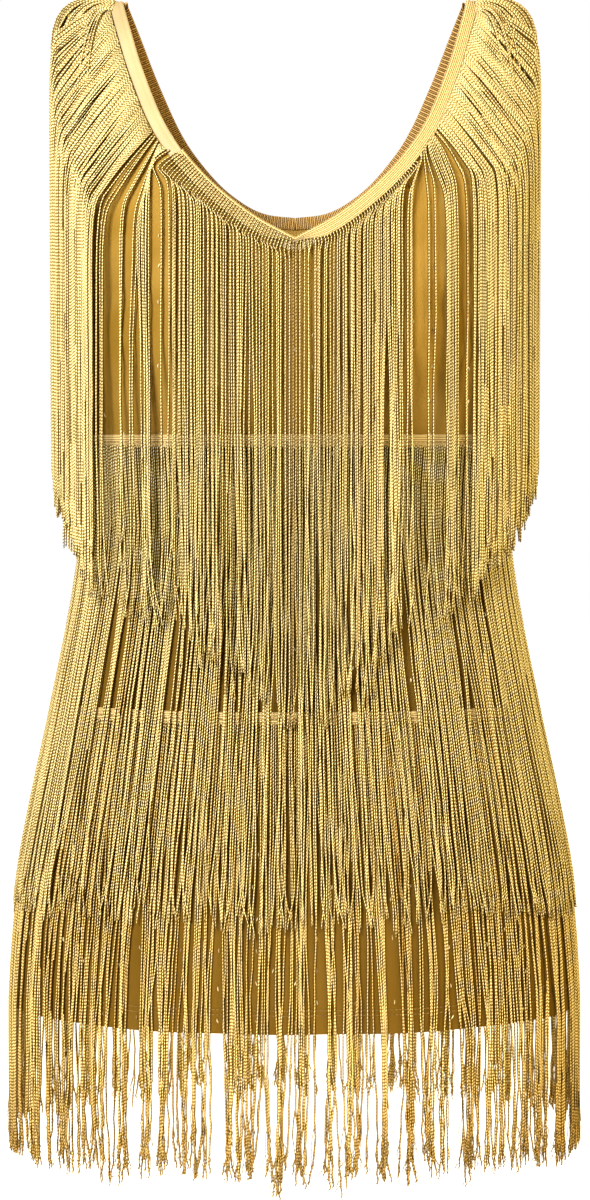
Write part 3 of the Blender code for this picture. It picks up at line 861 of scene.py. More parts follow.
def make_mesh(name: str, vertices: Array, corners: list[Array], uv: list[Array], finish: Material,
              slot: str, tone: Array | None = None) -> Piece:
    """Make a piece from whole arrays.

    Args:
        name: the piece's name.
        vertices: points, count by 3.
        corners: groups of faces, each faces by corners.
        uv: the same groups, faces by corners by 2, in metres.
        finish: its material.
        slot: the record's material slot; not used.
        tone: one value a vertex for the yarn's shade.

    Returns:
        The object, riding on the root body.
    """
    mesh = bpy.data.meshes.new(name)
    loops = np.concatenate([group.ravel() for group in corners]).astype(np.int32)
    sizes = np.concatenate([np.full(len(group), group.shape[1]) for group in corners])
    mesh.vertices.add(len(vertices))
    mesh.vertices.foreach_set("co", vertices.astype(np.float32).ravel())
    mesh.loops.add(len(loops))
    mesh.loops.foreach_set("vertex_index", loops)
    mesh.polygons.add(len(sizes))
    mesh.polygons.foreach_set("loop_start", (np.cumsum(sizes) - sizes).astype(np.int32))
    mesh.update(calc_edges=True)
    layer = mesh.uv_layers.new(name="cloth")
    layer.data.foreach_set("uv", np.concatenate([group.reshape(-1) for group in uv]).astype(np.float32))
    if tone is not None:
        mesh.attributes.new("tone", "FLOAT", "POINT").data.foreach_set("value", tone.astype(np.float32))
    mesh.validate()
    mesh.shade_smooth()
    mesh.materials.append(finish)
    piece = bpy.data.objects.new(name, mesh)
    bpy.context.scene.collection.objects.link(piece)
    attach(piece, "root")
    LOG.info("%s: %d faces", name, len(sizes))
    return piece


def grid_faces(numbers: Array, closed_rows: bool = False, closed_columns: bool = False) -> Array:
    """Quads between neighbouring rows and columns of a grid of vertex numbers.

    Args:
        numbers: vertex numbers, rows by columns.
        closed_rows: whether the last row joins the first.
        closed_columns: whether the last column joins the first.

    Returns:
        Faces, cells by 4.
    """
    if closed_rows:
        numbers = np.concatenate([numbers, numbers[:1]], axis=0)
    if closed_columns:
        numbers = np.concatenate([numbers, numbers[:, :1]], axis=1)
    corners = [numbers[:-1, :-1], numbers[:-1, 1:], numbers[1:, 1:], numbers[1:, :-1]]
    return np.stack([corner.ravel() for corner in corners], axis=-1)


def grid_uv(u: Array, v: Array) -> Array:
    """The corners' UV of the same quads, from a grid of u and of v with the closing row or column.

    Args:
        u: distance one way, rows by columns.
        v: distance the other way.

    Returns:
        UV, cells by 4 by 2.
    """
    both = np.stack([u, v], axis=-1)
    corners = [both[:-1, :-1], both[:-1, 1:], both[1:, 1:], both[1:, :-1]]
    return np.stack([corner.reshape(-1, 2) for corner in corners], axis=1)


def profile_strip(sections: Array, across: Array, along: Array) -> Shape:
    """Close a strip whose section is a ring of points, carried along a path.

    Args:
        sections: stations by ring points by 3.
        across: the distance round the section at each ring point, with the closing one.
        along: the distance along the path at each station.

    Returns:
        Vertices, face groups and UV groups, with a cap at each end.
    """
    stations, ring = sections.shape[:2]
    numbers = np.arange(stations * ring).reshape(stations, ring)
    sides = grid_faces(numbers, closed_columns=True)
    u = np.repeat(along[:, None], ring + 1, axis=1)
    v = np.repeat(across[None], stations, axis=0)
    caps = np.stack([numbers[0, ::-1], numbers[-1]])
    cap_uv = np.stack([np.stack([u[end, :ring], v[end, :ring]], -1) for end in (0, -1)])
    return sections.reshape(-1, 3), [sides, caps], [grid_uv(u, v), cap_uv]


def facing_out(vertices: Array, corners: list[Array], uv: list[Array]) -> Shape:
    """Turn a closed mesh's faces out, by the sign of its volume.

    Args:
        vertices: points, count by 3.
        corners: face groups.
        uv: their UV groups.

    Returns:
        The same three, turned where the volume was negative.
    """
    volume = 0.0
    for group in corners:
        first = vertices[group[:, 0]]
        for k in range(1, group.shape[1] - 1):
            second, third = vertices[group[:, k]], vertices[group[:, k + 1]]
            volume += np.einsum("ij,ij->", first, np.cross(second, third))
    if volume < 0:
        corners = [group[:, ::-1] for group in corners]
        uv = [group[:, ::-1] for group in uv]
    return vertices, corners, uv


def strands(paths: Array, outward: Array, radius: Array, seed: int) -> Shape:
    """Three-sided strands along paths, one edge of each turned out, with closed ends.

    Each ring is path + radius x (cos a x outward + sin a x sideways), where sideways is outward crossed
    with the path's direction.

    Args:
        paths: strands by stations by 3.
        outward: a direction away from the cloth at each station.
        radius: strands by stations.
        seed: for the start of each strand's twist.

    Returns:
        Vertices, face groups and UV groups.
    """
    count, stations = paths.shape[:2]
    along = unit(np.gradient(paths, axis=1))
    sideways = unit(np.cross(outward, along))
    out = np.cross(along, sideways)
    turn = np.arange(3) * 2 * np.pi / 3
    spin = np.cos(turn)[:, None] * out[:, :, None] + np.sin(turn)[:, None] * sideways[:, :, None]
    rings = paths[:, :, None] + spin * radius[:, :, None, None]
    numbers = np.arange(count * stations * 3).reshape(count, stations, 3)
    looped = np.concatenate([numbers, numbers[:, :, :1]], axis=2)
    length = np.cumsum(np.linalg.norm(np.diff(paths, axis=1), axis=-1), axis=1)
    length = np.concatenate([np.zeros((count, 1)), length], axis=1)
    length += np.random.default_rng(seed).random((count, 1))
    u = np.broadcast_to(np.arange(4) / 3, (count, stations, 4))
    both = np.stack([u, np.broadcast_to(length[:, :, None], u.shape)], axis=-1)
    quads, quad_uv = (
        np.stack([grid[:, :-1, :-1], grid[:, :-1, 1:], grid[:, 1:, 1:], grid[:, 1:, :-1]], axis=3)
        for grid in (looped, both)
    )
    caps = np.concatenate([numbers[:, 0, ::-1], numbers[:, -1]])
    cap_uv = np.concatenate([both[:, 0, 2::-1], both[:, -1, :3]])
    faces, face_uv = quads.reshape(-1, 4), quad_uv.reshape(-1, 4, 2)
    return facing_out(rings.reshape(-1, 3), [faces, caps], [face_uv, cap_uv])


def tipwards(stations: int) -> Array:
    """Stations from 0 to 1 that stand closer towards the tip, as 1 - (1 - t)^1.7."""
    return 1 - (1 - np.linspace(0, 1, stations)) ** 1.7


def pill_stitches(points: Array, along: Array, outward: Array, length: float, radius: float) -> Shape:
    """Small stitches: six-sided boats that arch out of the cloth, joined into one mesh.

    Args:
        points: each stitch's middle on the cloth.
        along: its direction.
        outward: the cloth's normal there.
        length: of a stitch.
        radius: of the thread.

    Returns:
        Vertices, face groups and UV groups.
    """
    t = np.linspace(-0.5, 0.5, 4)
    arch = (1 - (2 * t) ** 2) * radius * 1.3
    paths = points[:, None] + along[:, None] * (t * length)[:, None] + outward[:, None] * arch[:, None]
    size = radius * np.array([0.45, 1.0, 1.0, 0.45])
    return strands(paths, np.repeat(outward[:, None], 4, axis=1), np.tile(size, (len(points), 1)), 5)


@dataclass
class Cloth:
    """A cut panel of the dress: its outer face as a fine grid, its normals, and the piece itself."""

    form: Form
    face: Face
    columns: int = 72
    lower_rows: int = 118
    upper_rows: int = 46
    v: Array = field(init=False)
    points: Array = field(init=False)
    normals: Array = field(init=False)
    numbers: Array = field(init=False)
    quads: Array = field(init=False)

    def __post_init__(self) -> None:
        """Lay out the grid, then give it creases and puckers along its own normals."""
        lower = np.linspace(0, 1, self.lower_rows + 1)
        self.v = np.concatenate([lower, 1 + np.linspace(0, 1, self.upper_rows + 1)[1:]])
        halves = [self.form.half_grid(self.face, hand, self.v, self.columns) for hand in (-1, 1)]
        self.points = np.array(halves)
        self.number()
        self.find_normals()
        self.points = self.points + self.normals * self.relief()[..., None]
        self.find_normals()

    def number(self) -> None:
        """Number the grid points; below the neck the two halves share the middle column."""
        shape = self.points.shape[:3]
        self.numbers = np.arange(np.prod(shape)).reshape(shape)
        self.numbers[1, : self.lower_rows + 1, -1] = self.numbers[0, : self.lower_rows + 1, -1]
        left = grid_faces(self.numbers[0])
        right = grid_faces(self.numbers[1])[:, ::-1]
        self.quads = np.concatenate([left, right])
        if self.face is Face.FRONT:
            self.quads = self.quads[:, ::-1]

    def find_normals(self) -> None:
        """Mean direction of the faces round each point, kept level at the seams and the middle."""
        flat = self.points.reshape(-1, 3)
        corner = flat[self.quads]
        facing = np.cross(corner[:, 2] - corner[:, 0], corner[:, 3] - corner[:, 1])
        total = np.zeros_like(flat)
        for k in range(4):
            np.add.at(total, self.quads[:, k], facing)
        total = total[self.numbers]
        total[:, : self.lower_rows + 1, 0, 1] = 0
        total[:, -1, :, 1] = 0
        self.normals = unit(total)
        if (self.normals[:, :40, 10:, 1] * self.face.value).mean() < 0:
            self.normals = -self.normals
            self.quads = self.quads[:, ::-1]

    def relief(self) -> Array:
        """How far the cloth rises: creases as bells along lines, puckers at the tapes and a hem ridge.

        Returns:
            Metres along the normals.
        """
        x, z = self.points[..., 0], self.points[..., 2]
        rise = np.zeros_like(x)
        for crease in CREASES[self.face]:
            start = np.array([crease.x0, crease.z0])
            run = np.array([crease.x1, crease.z1]) - start
            t = ((x - start[0]) * run[0] + (z - start[1]) * run[1]) / (run @ run)
            t = np.clip(t, 0, 1)
            away = np.hypot(x - start[0] - run[0] * t, z - start[1] - run[1] * t)
            waver = 1 + 0.25 * np.sin(17 * t + 40 * crease.x0)
            bell = np.exp(-((away / crease.width) ** 2))
            rise += crease.rise * waver * bell * (0.35 + 0.65 * np.sin(np.pi * t))
        around = np.arctan2(x, np.abs(self.points[..., 1]))
        for height in (BUST_TAPE, HIP_TAPE):
            near = np.exp(-(((z - height - 0.004) / 0.006) ** 2))
            rise += 0.00035 * near * np.sin(62 * around + 3 * np.sin(7 * around))
        rise += 0.00025 * np.exp(-(((z - HEM_TURN - 0.0012) / 0.0022) ** 2)) * np.sin(88 * around)
        rise -= 0.00030 * np.exp(-(((z - HEM_TURN) / 0.0016) ** 2))
        rise[:, self.lower_rows :] *= ease(2 - self.v[self.lower_rows :], 0.0, 0.25)[None, :, None]
        edge = ease(np.arange(self.columns + 1) / self.columns, 0.0, 0.05)
        return rise * edge[None, None]

    def at(self, hand: Array, row: Array, column_at: Array, lift: Array) -> tuple[Array, Array]:
        """Points between the grid's points, read in a straight line between them, moved out by lift.

        Args:
            hand: -1 for the wearer's right, +1 for the left.
            row: place up the panel, in rows.
            column_at: place across, in columns from the side.
            lift: distance out from the cloth.

        Returns:
            Points and unit normals.
        """
        half = ((hand + 1) // 2).astype(int)
        low_row = np.clip(np.floor(row).astype(int), 0, self.points.shape[1] - 2)
        low_col = np.clip(np.floor(column_at).astype(int), 0, self.columns - 1)
        up, across = (row - low_row)[..., None], (column_at - low_col)[..., None]
        point, normal = (
            between([grid[half, low_row + k, low_col + m] for k in (0, 1) for m in (0, 1)], up, across)
            for grid in (self.points, self.normals)
        )
        normal = unit(normal)
        return point + normal * (lift + 0 * row)[..., None], normal

    def thickness(self) -> Array:
        """Wall at each grid point: one layer, and two where the hem, neck and armholes are turned in.

        Returns:
            Metres.
        """
        z = self.points[..., 2]
        hem = ease(-z, -HEM_TURN - 0.0025, -HEM_TURN)
        across = np.arange(self.columns + 1) / self.columns
        width = np.linalg.norm(np.diff(self.points, axis=2), axis=-1).sum(-1)
        from_arm = across[None, None] * width[..., None]
        from_neck = (1 - across)[None, None] * width[..., None]
        upper = (self.v > 1)[None, :, None]
        turned = np.maximum(ease(-from_arm, -0.0095, -0.0080), ease(-from_neck, -0.0095, -0.0080)) * upper
        return WALL * 0.8 + (HEM_WALL - WALL * 0.8) * hem + 0.0005 * turned

    def piece(self, finish: Material) -> Piece:
        """The panel as a closed wall, with a flat rim round every edge.

        Args:
            finish: the knit.

        Returns:
            The panel.
        """
        thick = self.thickness()[..., None]
        inner = self.points - self.normals * thick
        count = self.numbers.size
        vertices = np.concatenate([self.points.reshape(-1, 3), inner.reshape(-1, 3)])
        width = np.linalg.norm(np.diff(self.points, axis=2), axis=-1).sum(-1)
        across = (1 - np.arange(self.columns + 1) / self.columns)[None, None] * width[..., None]
        across = across + np.abs(self.points[:, :, -1:, 0])
        u = across * np.array([-1, 1])[:, None, None]
        flat_uv = np.stack([u, self.points[..., 2]], axis=-1).reshape(-1, 2)
        flat_uv = np.concatenate([flat_uv, flat_uv])
        pairs = [np.stack([self.quads[:, k], self.quads[:, (k + 1) % 4]], -1) for k in range(4)]
        edges = np.concatenate(pairs)
        key = edges[:, 0] * count + edges[:, 1]
        back = edges[:, 1] * count + edges[:, 0]
        rim = edges[~np.isin(key, back)]
        faces = np.concatenate([self.quads, self.quads[:, ::-1] + count,
                                np.stack([rim[:, 1], rim[:, 0], rim[:, 0] + count, rim[:, 1] + count], -1)])
        used = np.unique(faces)
        place = np.full(2 * count, -1)
        place[used] = np.arange(len(used))
        name = f"{self.face.name.lower()}_panel_cloth"
        made = make_mesh(name, vertices[used], [place[faces]], [flat_uv[faces]], finish, "knit")
        made.data.set_sharp_from_angle(angle=np.radians(50))
        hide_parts(f"{self.face.name.lower()}_panel")
        return made


@dataclass
class Round:
    """The cloth right round below the bust, as one closed grid of rows by columns."""

    panels: dict[Face, Cloth]
    points: Array = field(init=False)
    normals: Array = field(init=False)
    heights: Array = field(init=False)
    count: int = field(init=False)

    def __post_init__(self) -> None:
        """Join four quarters: front left, front right, back right, back left of the wearer."""
        side = np.arange(self.panels[Face.FRONT].columns)
        middle = side + 1
        front, back = self.panels[Face.FRONT], self.panels[Face.BACK]
        rows = front.lower_rows + 1
        parts = [(front, 1, side), (front, 0, middle[::-1]), (back, 0, side), (back, 1, middle[::-1])]
        self.points = np.concatenate([p.points[half, :rows][:, cols] for p, half, cols in parts], axis=1)
        self.normals = np.concatenate([p.normals[half, :rows][:, cols] for p, half, cols in parts], axis=1)
        self.heights = HEM + (UNDERARM - HEM) * front.v[:rows]
        self.count = self.points.shape[1]

    def at(self, height: Array, place: Array, lift: Array) -> tuple[Array, Array]:
        """Points at a height and a place round the dress, counted in columns; below the hem, plumb.

        Args:
            height: heights up to the bust tape.
            place: column numbers, wrapped round.
            lift: distance out from the cloth.

        Returns:
            Points and outward directions.
        """
        row = np.interp(height, self.heights, np.arange(len(self.heights)))
        low = np.clip(np.floor(row).astype(int), 0, len(self.heights) - 2)
        first = np.floor(place).astype(int)
        up, across = (row - low)[..., None], (place - first)[..., None]
        a, b = first % self.count, (first + 1) % self.count
        point, normal = (
            between([grid[low + k, m] for k in (0, 1) for m in (a, b)], up, across)
            for grid in (self.points, self.normals)
        )
        point[..., 2] += np.minimum(height - HEM, 0)
        normal = unit(normal)
        return point + normal * (lift + 0 * height)[..., None], normal

    def even_places(self, height: float, count: int) -> tuple[Array, float]:
        """Places spaced evenly by length round the dress at a height, and that length.

        Args:
            height: of the ring.
            count: how many places.

        Returns:
            The places, in columns, and the ring's length.
        """
        points, _ = self.at(np.full(self.count + 1, height), np.arange(self.count + 1.0), 0.0)
        along = np.concatenate([[0], np.cumsum(np.linalg.norm(np.diff(points, axis=0), axis=1))])
        even = np.arange(count) / count * along[-1]
        return np.interp(even, along, np.arange(self.count + 1.0)), along[-1]

    def bearing(self, place: Array) -> Array:
        """Bearing in degrees on the hem's ellipse, 0 at the middle front, positive to the wearer's left."""
        points, _ = self.at(np.full(len(place), HEM), place, 0.0)
        return np.degrees(np.arctan2(points[:, 0] / HEM_HALF_WIDE, -points[:, 1] / HEM_HALF_DEEP))


def yarn_radius(share: Array, rng: np.random.Generator) -> Array:
    """Radius along each strand: uneven from one strand to the next, and finer at the cut tip."""
    return YARN * rng.normal(1.0, 0.05, (len(share), 1)) * (1 - 0.30 * ease(share, 0.97, 1.0))


def narrow_gaps(rng: np.random.Generator, count: int, reach: float, widths: tuple[float, float],
                top: float, falls: tuple[float, float], opens: tuple[float, float]) -> tuple:
    """Gaps at bearings left to chance, where bundles of strands stand a little apart.

    Args:
        rng: the seeded source.
        count: how many.
        reach: the farthest bearing from the middle front.
        widths: shape and scale of the widths' gamma curve, in degrees.
        top: the height from which a gap's start is measured.
        falls: least and most fall from the top to the start.
        opens: least and most fall from the start to the full width.

    Returns:
        Rows of bearing, width, start and full height.
    """
    middle = rng.uniform(-reach, reach, count)
    width = rng.gamma(*widths, count)
    start = top - rng.uniform(*falls, count)
    return tuple(zip(middle, width, start, start - rng.uniform(*opens, count)))


def part(bearing: Array, heights: Array, partings: Array) -> Array:
    """Sideways moves, in degrees, that open gaps between strands and close up their neighbours.

    Each strand moves away from a gap's middle by half its width, times a bell over 1.6 widths.

    Args:
        bearing: one value a strand.
        heights: strands by stations.
        partings: rows of bearing, width, start and full height.

    Returns:
        Degrees, strands by stations.
    """
    away = (bearing[:, None] - partings[:, 0] + 180) % 360 - 180
    push = np.sign(away) * partings[:, 1] / 2 * np.exp(-((away / (1.6 * partings[:, 1])) ** 2))
    grow = np.clip((partings[:, 2] - heights[..., None]) / (partings[:, 2] - partings[:, 3]), 0, 1)
    return (push[:, None] * grow * grow * (3 - 2 * grow)).sum(-1)


def gather_tips(sideways: Array, share: Array, rng: np.random.Generator, groups: tuple[int, int],
                pull: float) -> Array:
    """Draw neighbouring strands together towards their tips, in uneven groups.

    Args:
        sideways: each strand's own place across, one value a strand.
        share: 0 where the pull starts and 1 at the tip, strands by stations.
        rng: the seeded source of the groups.
        groups: fewest and most strands in a group.
        pull: the most of the way to the group's middle.

    Returns:
        Moves across, strands by stations.
    """
    sizes = rng.integers(groups[0], groups[1] + 1, len(sideways))
    group = np.searchsorted(np.cumsum(sizes), np.arange(len(sideways)), side="right")
    total = np.bincount(group, sideways)
    middle = (total / np.maximum(np.bincount(group), 1))[group]
    strength = rng.uniform(0.15, 1.0, group.max() + 1)[group] * pull
    return (middle - sideways)[:, None] * strength[:, None] * share**1.5


def curl(count: int, share: Array, rng: np.random.Generator, hook: float, crimp: float) -> Array:
    """Hooked tips and crimped ends: a bend in the last tenth and a zigzag over the last third.

    Args:
        count: strands.
        share: 0 at the root and 1 at the tip, strands by stations.
        rng: the seeded source.
        hook: the usual bend of a tip.
        crimp: the usual height of the zigzag.

    Returns:
        Metres across, strands by stations.
    """
    flip = np.where(np.arange(share.shape[1]) % 2, 1.0, -1.0)[None]
    zigzag = rng.uniform(0.2, 1.0, share.shape) * flip * crimp * ease(share, 0.66, 0.92)
    return rng.normal(0, hook, (count, 1)) * ease(share, 0.90, 1.0) ** 2 + zigzag


def through(partings: tuple, far: float) -> tuple:
    """Gaps of the back that open where the eye looks through the front ones.

    A gap at x = a sin(bearing) is seen at x times far on the back, so its bearing there is
    180 degrees less the arc sine of far x sin(bearing).

    Args:
        partings: the front's gaps.
        far: how much wider the back has to be to look the same.

    Returns:
        The back's gaps, wider and slower to open.
    """
    found = []
    for row in partings:
        sine = np.sin(np.radians(row.bearing)) * far
        if abs(sine) < 0.97:
            behind = np.degrees(np.arcsin(sine))
            wide = row.width * far * np.cos(np.radians(row.bearing)) / np.cos(np.radians(behind))
            found.append(Parting((180 - behind + 180) % 360 - 180, wide * 1.5, row.start, row.full + 0.05))
    return tuple(found)


def wander(count: int, share: Array, rng: np.random.Generator, size: float) -> Array:
    """Slow sideways waves of each strand that grow towards its tip, in metres.

    Args:
        count: strands.
        share: 0 at the root and 1 at the tip, strands by stations.
        rng: the seeded source.
        size: the usual reach at the tip.

    Returns:
        Metres across, strands by stations.
    """
    total = np.zeros_like(share)
    for waves, part_of in ((1.3, 1.0), (3.1, 0.45), (6.3, 0.22)):
        phase = rng.uniform(0, 2 * np.pi, (count, 1))
        rate = waves * rng.uniform(0.7, 1.3, (count, 1))
        height = rng.normal(0, size * part_of, (count, 1))
        total += height * np.sin(2 * np.pi * rate * share + phase) * (0.15 + 0.85 * share)
    return total


@dataclass
class TierFringe:
    """A fringe sewn right round the dress: its woven tape and its hanging strands."""

    name: str
    round: Round
    top: float
    strands: int
    lifts: tuple[tuple[float, float], ...]
    partings: tuple
    seed: int
    hook: float = 0.0016
    crimp: float = 0.0
    stray: float = 0.0011
    deep_tips: float = 0.1
    past_solid: float = 0.0
    loose: float = 0.0
    drawn_from: float = 0.78
    tape_rise: float = 0.0012
    stations: int = 20
    few: int = 150
    gap: float = 0.27
    frayed: int = 0
    fray_stations: int = 9
    tape_steps: int = 1400
    strand_uneven: float = 0.0022
    lock_uneven: float = 0.0045

    def tape(self, finish: Material) -> Piece:
        """A woven tape, 8 mm deep, with three weft ridges and a corded top edge.

        Args:
            finish: the woven tape.

        Returns:
            The tape.
        """
        steps = self.tape_steps
        place = np.linspace(0, self.round.count, steps, endpoint=False)
        _, length = self.round.even_places(self.top, 4)
        depth = np.array([0.0006, 0.0003, -0.0005, -0.0014, -0.0027,
                          -0.0040, -0.0053, -0.0066, -0.0078, -0.0083])
        rise = np.array([0.3, 1.35, 1.2, 0.3, 1.1, 0.3, 1.1, 0.3, 1.0, 0.6]) * self.tape_rise
        rows = []
        for down, out in zip(depth, rise):
            wave = 1 + 0.10 * np.sin(np.arange(steps) * 2 * np.pi / 3.1)
            rows.append(self.round.at(np.full(steps, self.top + down), place, SEAM_GAP + out * wave)[0])
        for down in (depth[-1], depth[0]):
            rows.append(self.round.at(np.full(steps, self.top + down), place, SEAM_GAP * 0.6)[0])
        grid = np.array(rows)
        numbers = np.arange(grid.shape[0] * steps).reshape(grid.shape[0], steps)
        faces = grid_faces(numbers, closed_rows=True, closed_columns=True)
        v = np.concatenate([depth, [depth[-1], depth[0], depth[0]]]) + 0.0014
        u = np.linspace(0, length, steps + 1)
        uv = grid_uv(np.repeat(u[None], len(v), 0), np.repeat(v[:, None], steps + 1, 1))
        shape = facing_out(grid.reshape(-1, 3), [faces], [uv])
        return make_mesh(f"{self.name}_tape", *shape, finish, "fringe")

    def paths(self) -> tuple[Array, Array, Array, Array]:
        """Strand centre lines: down the cloth from the tape, parted, gathered and wandering.

        Returns:
            Points, outward directions, radii and tones.
        """
        rng = np.random.default_rng(self.seed)
        count = self.strands
        place, _ = self.round.even_places(self.top, count)
        place = place + rng.normal(0, 0.12, count) * self.round.count / count
        drop = FRINGE_DROP + rng.normal(0, self.strand_uneven, count) + 0.002 * np.sin(place / 9.0)
        drop = drop + self.past_solid + np.repeat(rng.normal(0, self.lock_uneven, count), 4)[:count]
        share = tipwards(self.stations)[None] * np.ones((count, 1))
        height = self.top - TAPE_DEEP * 0.85 - (drop - TAPE_DEEP)[:, None] * share
        bearing = self.round.bearing(place)
        narrow = narrow_gaps(rng, self.few, 180, (2.2, self.gap), self.top, (0.01, 0.20), (0.05, 0.14))
        turns = part(bearing, height, np.array(self.partings + narrow))
        turn = np.radians(bearing)
        rate = np.pi / 180 * np.hypot(HEM_HALF_WIDE * np.cos(turn), HEM_HALF_DEEP * np.sin(turn))
        obeys = np.where(rng.random((count, 1)) < self.loose, rng.uniform(-0.4, 0.6, (count, 1)), 1.0)
        sideways = wander(count, share, rng, self.stray) - turns * rate[:, None] * obeys
        own = np.arange(count) * 1.02 / count
        sideways = sideways + gather_tips(own, ease(share, self.drawn_from, 1.0), rng, (2, 7), 0.85)
        sideways = sideways + curl(count, share, rng, self.hook, self.crimp)
        low = np.clip(height, HEM, None)
        ring = self.ring_length(low) / self.round.count
        lift = np.interp(-height, [-h for h, _ in self.lifts], [lift for _, lift in self.lifts])
        lift = lift + rng.uniform(0, 0.0012, (count, 1)) * ease(-height, 0.02 - self.top, 0.10 - self.top)
        points, out = self.round.at(height, place[:, None] + sideways / ring, lift)
        radius = yarn_radius(share, rng)
        tone = np.clip(rng.normal(0.62, 0.22, (count, 1)) - self.deep_tips * ease(share, 0.70, 1.0), 0, 1)
        return points, out, radius, np.repeat(tone, 3)

    def frays(self, points: Array, out: Array) -> tuple[Array, Array, Array]:
        """Loose plies at the tips: each leaves its strand near the end and falls in small waves.

        Args:
            points: strand centre lines.
            out: their outward directions.

        Returns:
            Centre lines, outward directions and radii of the plies.
        """
        rng = np.random.default_rng(self.seed + 100)
        points, out = (np.repeat(found, self.frayed, axis=0) for found in (points, out))
        count = len(points)
        tip, outward = points[:, -1], out[:, -1]
        spot = rng.integers(-8, -2, count)
        start = points[np.arange(count), spot]
        end = tip[:, 2] + rng.uniform(-0.004, 0.010, count)
        share = np.linspace(0, 1, self.fray_stations)[None] * np.ones((count, 1))
        across = np.cross(outward, [0, 0, 1.0])
        sway = rng.normal(0, 0.0030, (count, 1)) * share**1.4 + wander(count, share, rng, 0.0016)
        sway = sway + rng.normal(0, 0.0007, share.shape) * share
        fall = start[:, None] + (tip - start)[:, None] * share[..., None]
        fall[..., 2] = start[:, 2:] + (end - start[:, 2])[:, None] * share
        fall = fall + across[:, None] * sway[..., None]
        fall = fall + outward[:, None] * (rng.normal(0, 0.0012, (count, 1)) * share)[..., None]
        radius = PLY * rng.normal(1.0, 0.15, (count, 1)) * (1 - 0.4 * share)
        return fall, np.repeat(outward[:, None], self.fray_stations, axis=1), radius

    def ring_length(self, height: Array) -> Array:
        """Length round the dress at each height, read from a few.

        Args:
            height: of each ring.

        Returns:
            Metres.
        """
        few = np.linspace(HEM, self.top, 9)
        return np.interp(height, few, [self.round.even_places(z, 4)[1] for z in few])

    def fringe(self, finish: Material) -> list[Piece]:
        """The strands, in a front and a back piece.

        Args:
            finish: the yarn.

        Returns:
            The pieces, front first, with the loose plies where there are any.
        """
        points, out, radius, tone = self.paths()
        made = []
        front = points[:, 0, 1] < 0
        for side, chosen in (("front", front), ("back", ~front)):
            shape = strands(points[chosen], out[chosen], radius[chosen], self.seed)
            shade = tone.reshape(len(points), -1)[chosen].ravel()
            made.append(make_mesh(f"{self.name}_strands_{side}", *shape, finish, "fringe", shade))
            if self.frayed:
                shape = strands(*self.frays(points[chosen], out[chosen]), self.seed)
                shade = np.full(len(shape[0]), 0.2)
                made.append(make_mesh(f"{self.name}_frays_{side}", *shape, finish, "fringe", shade))
        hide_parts(self.name)
        return made


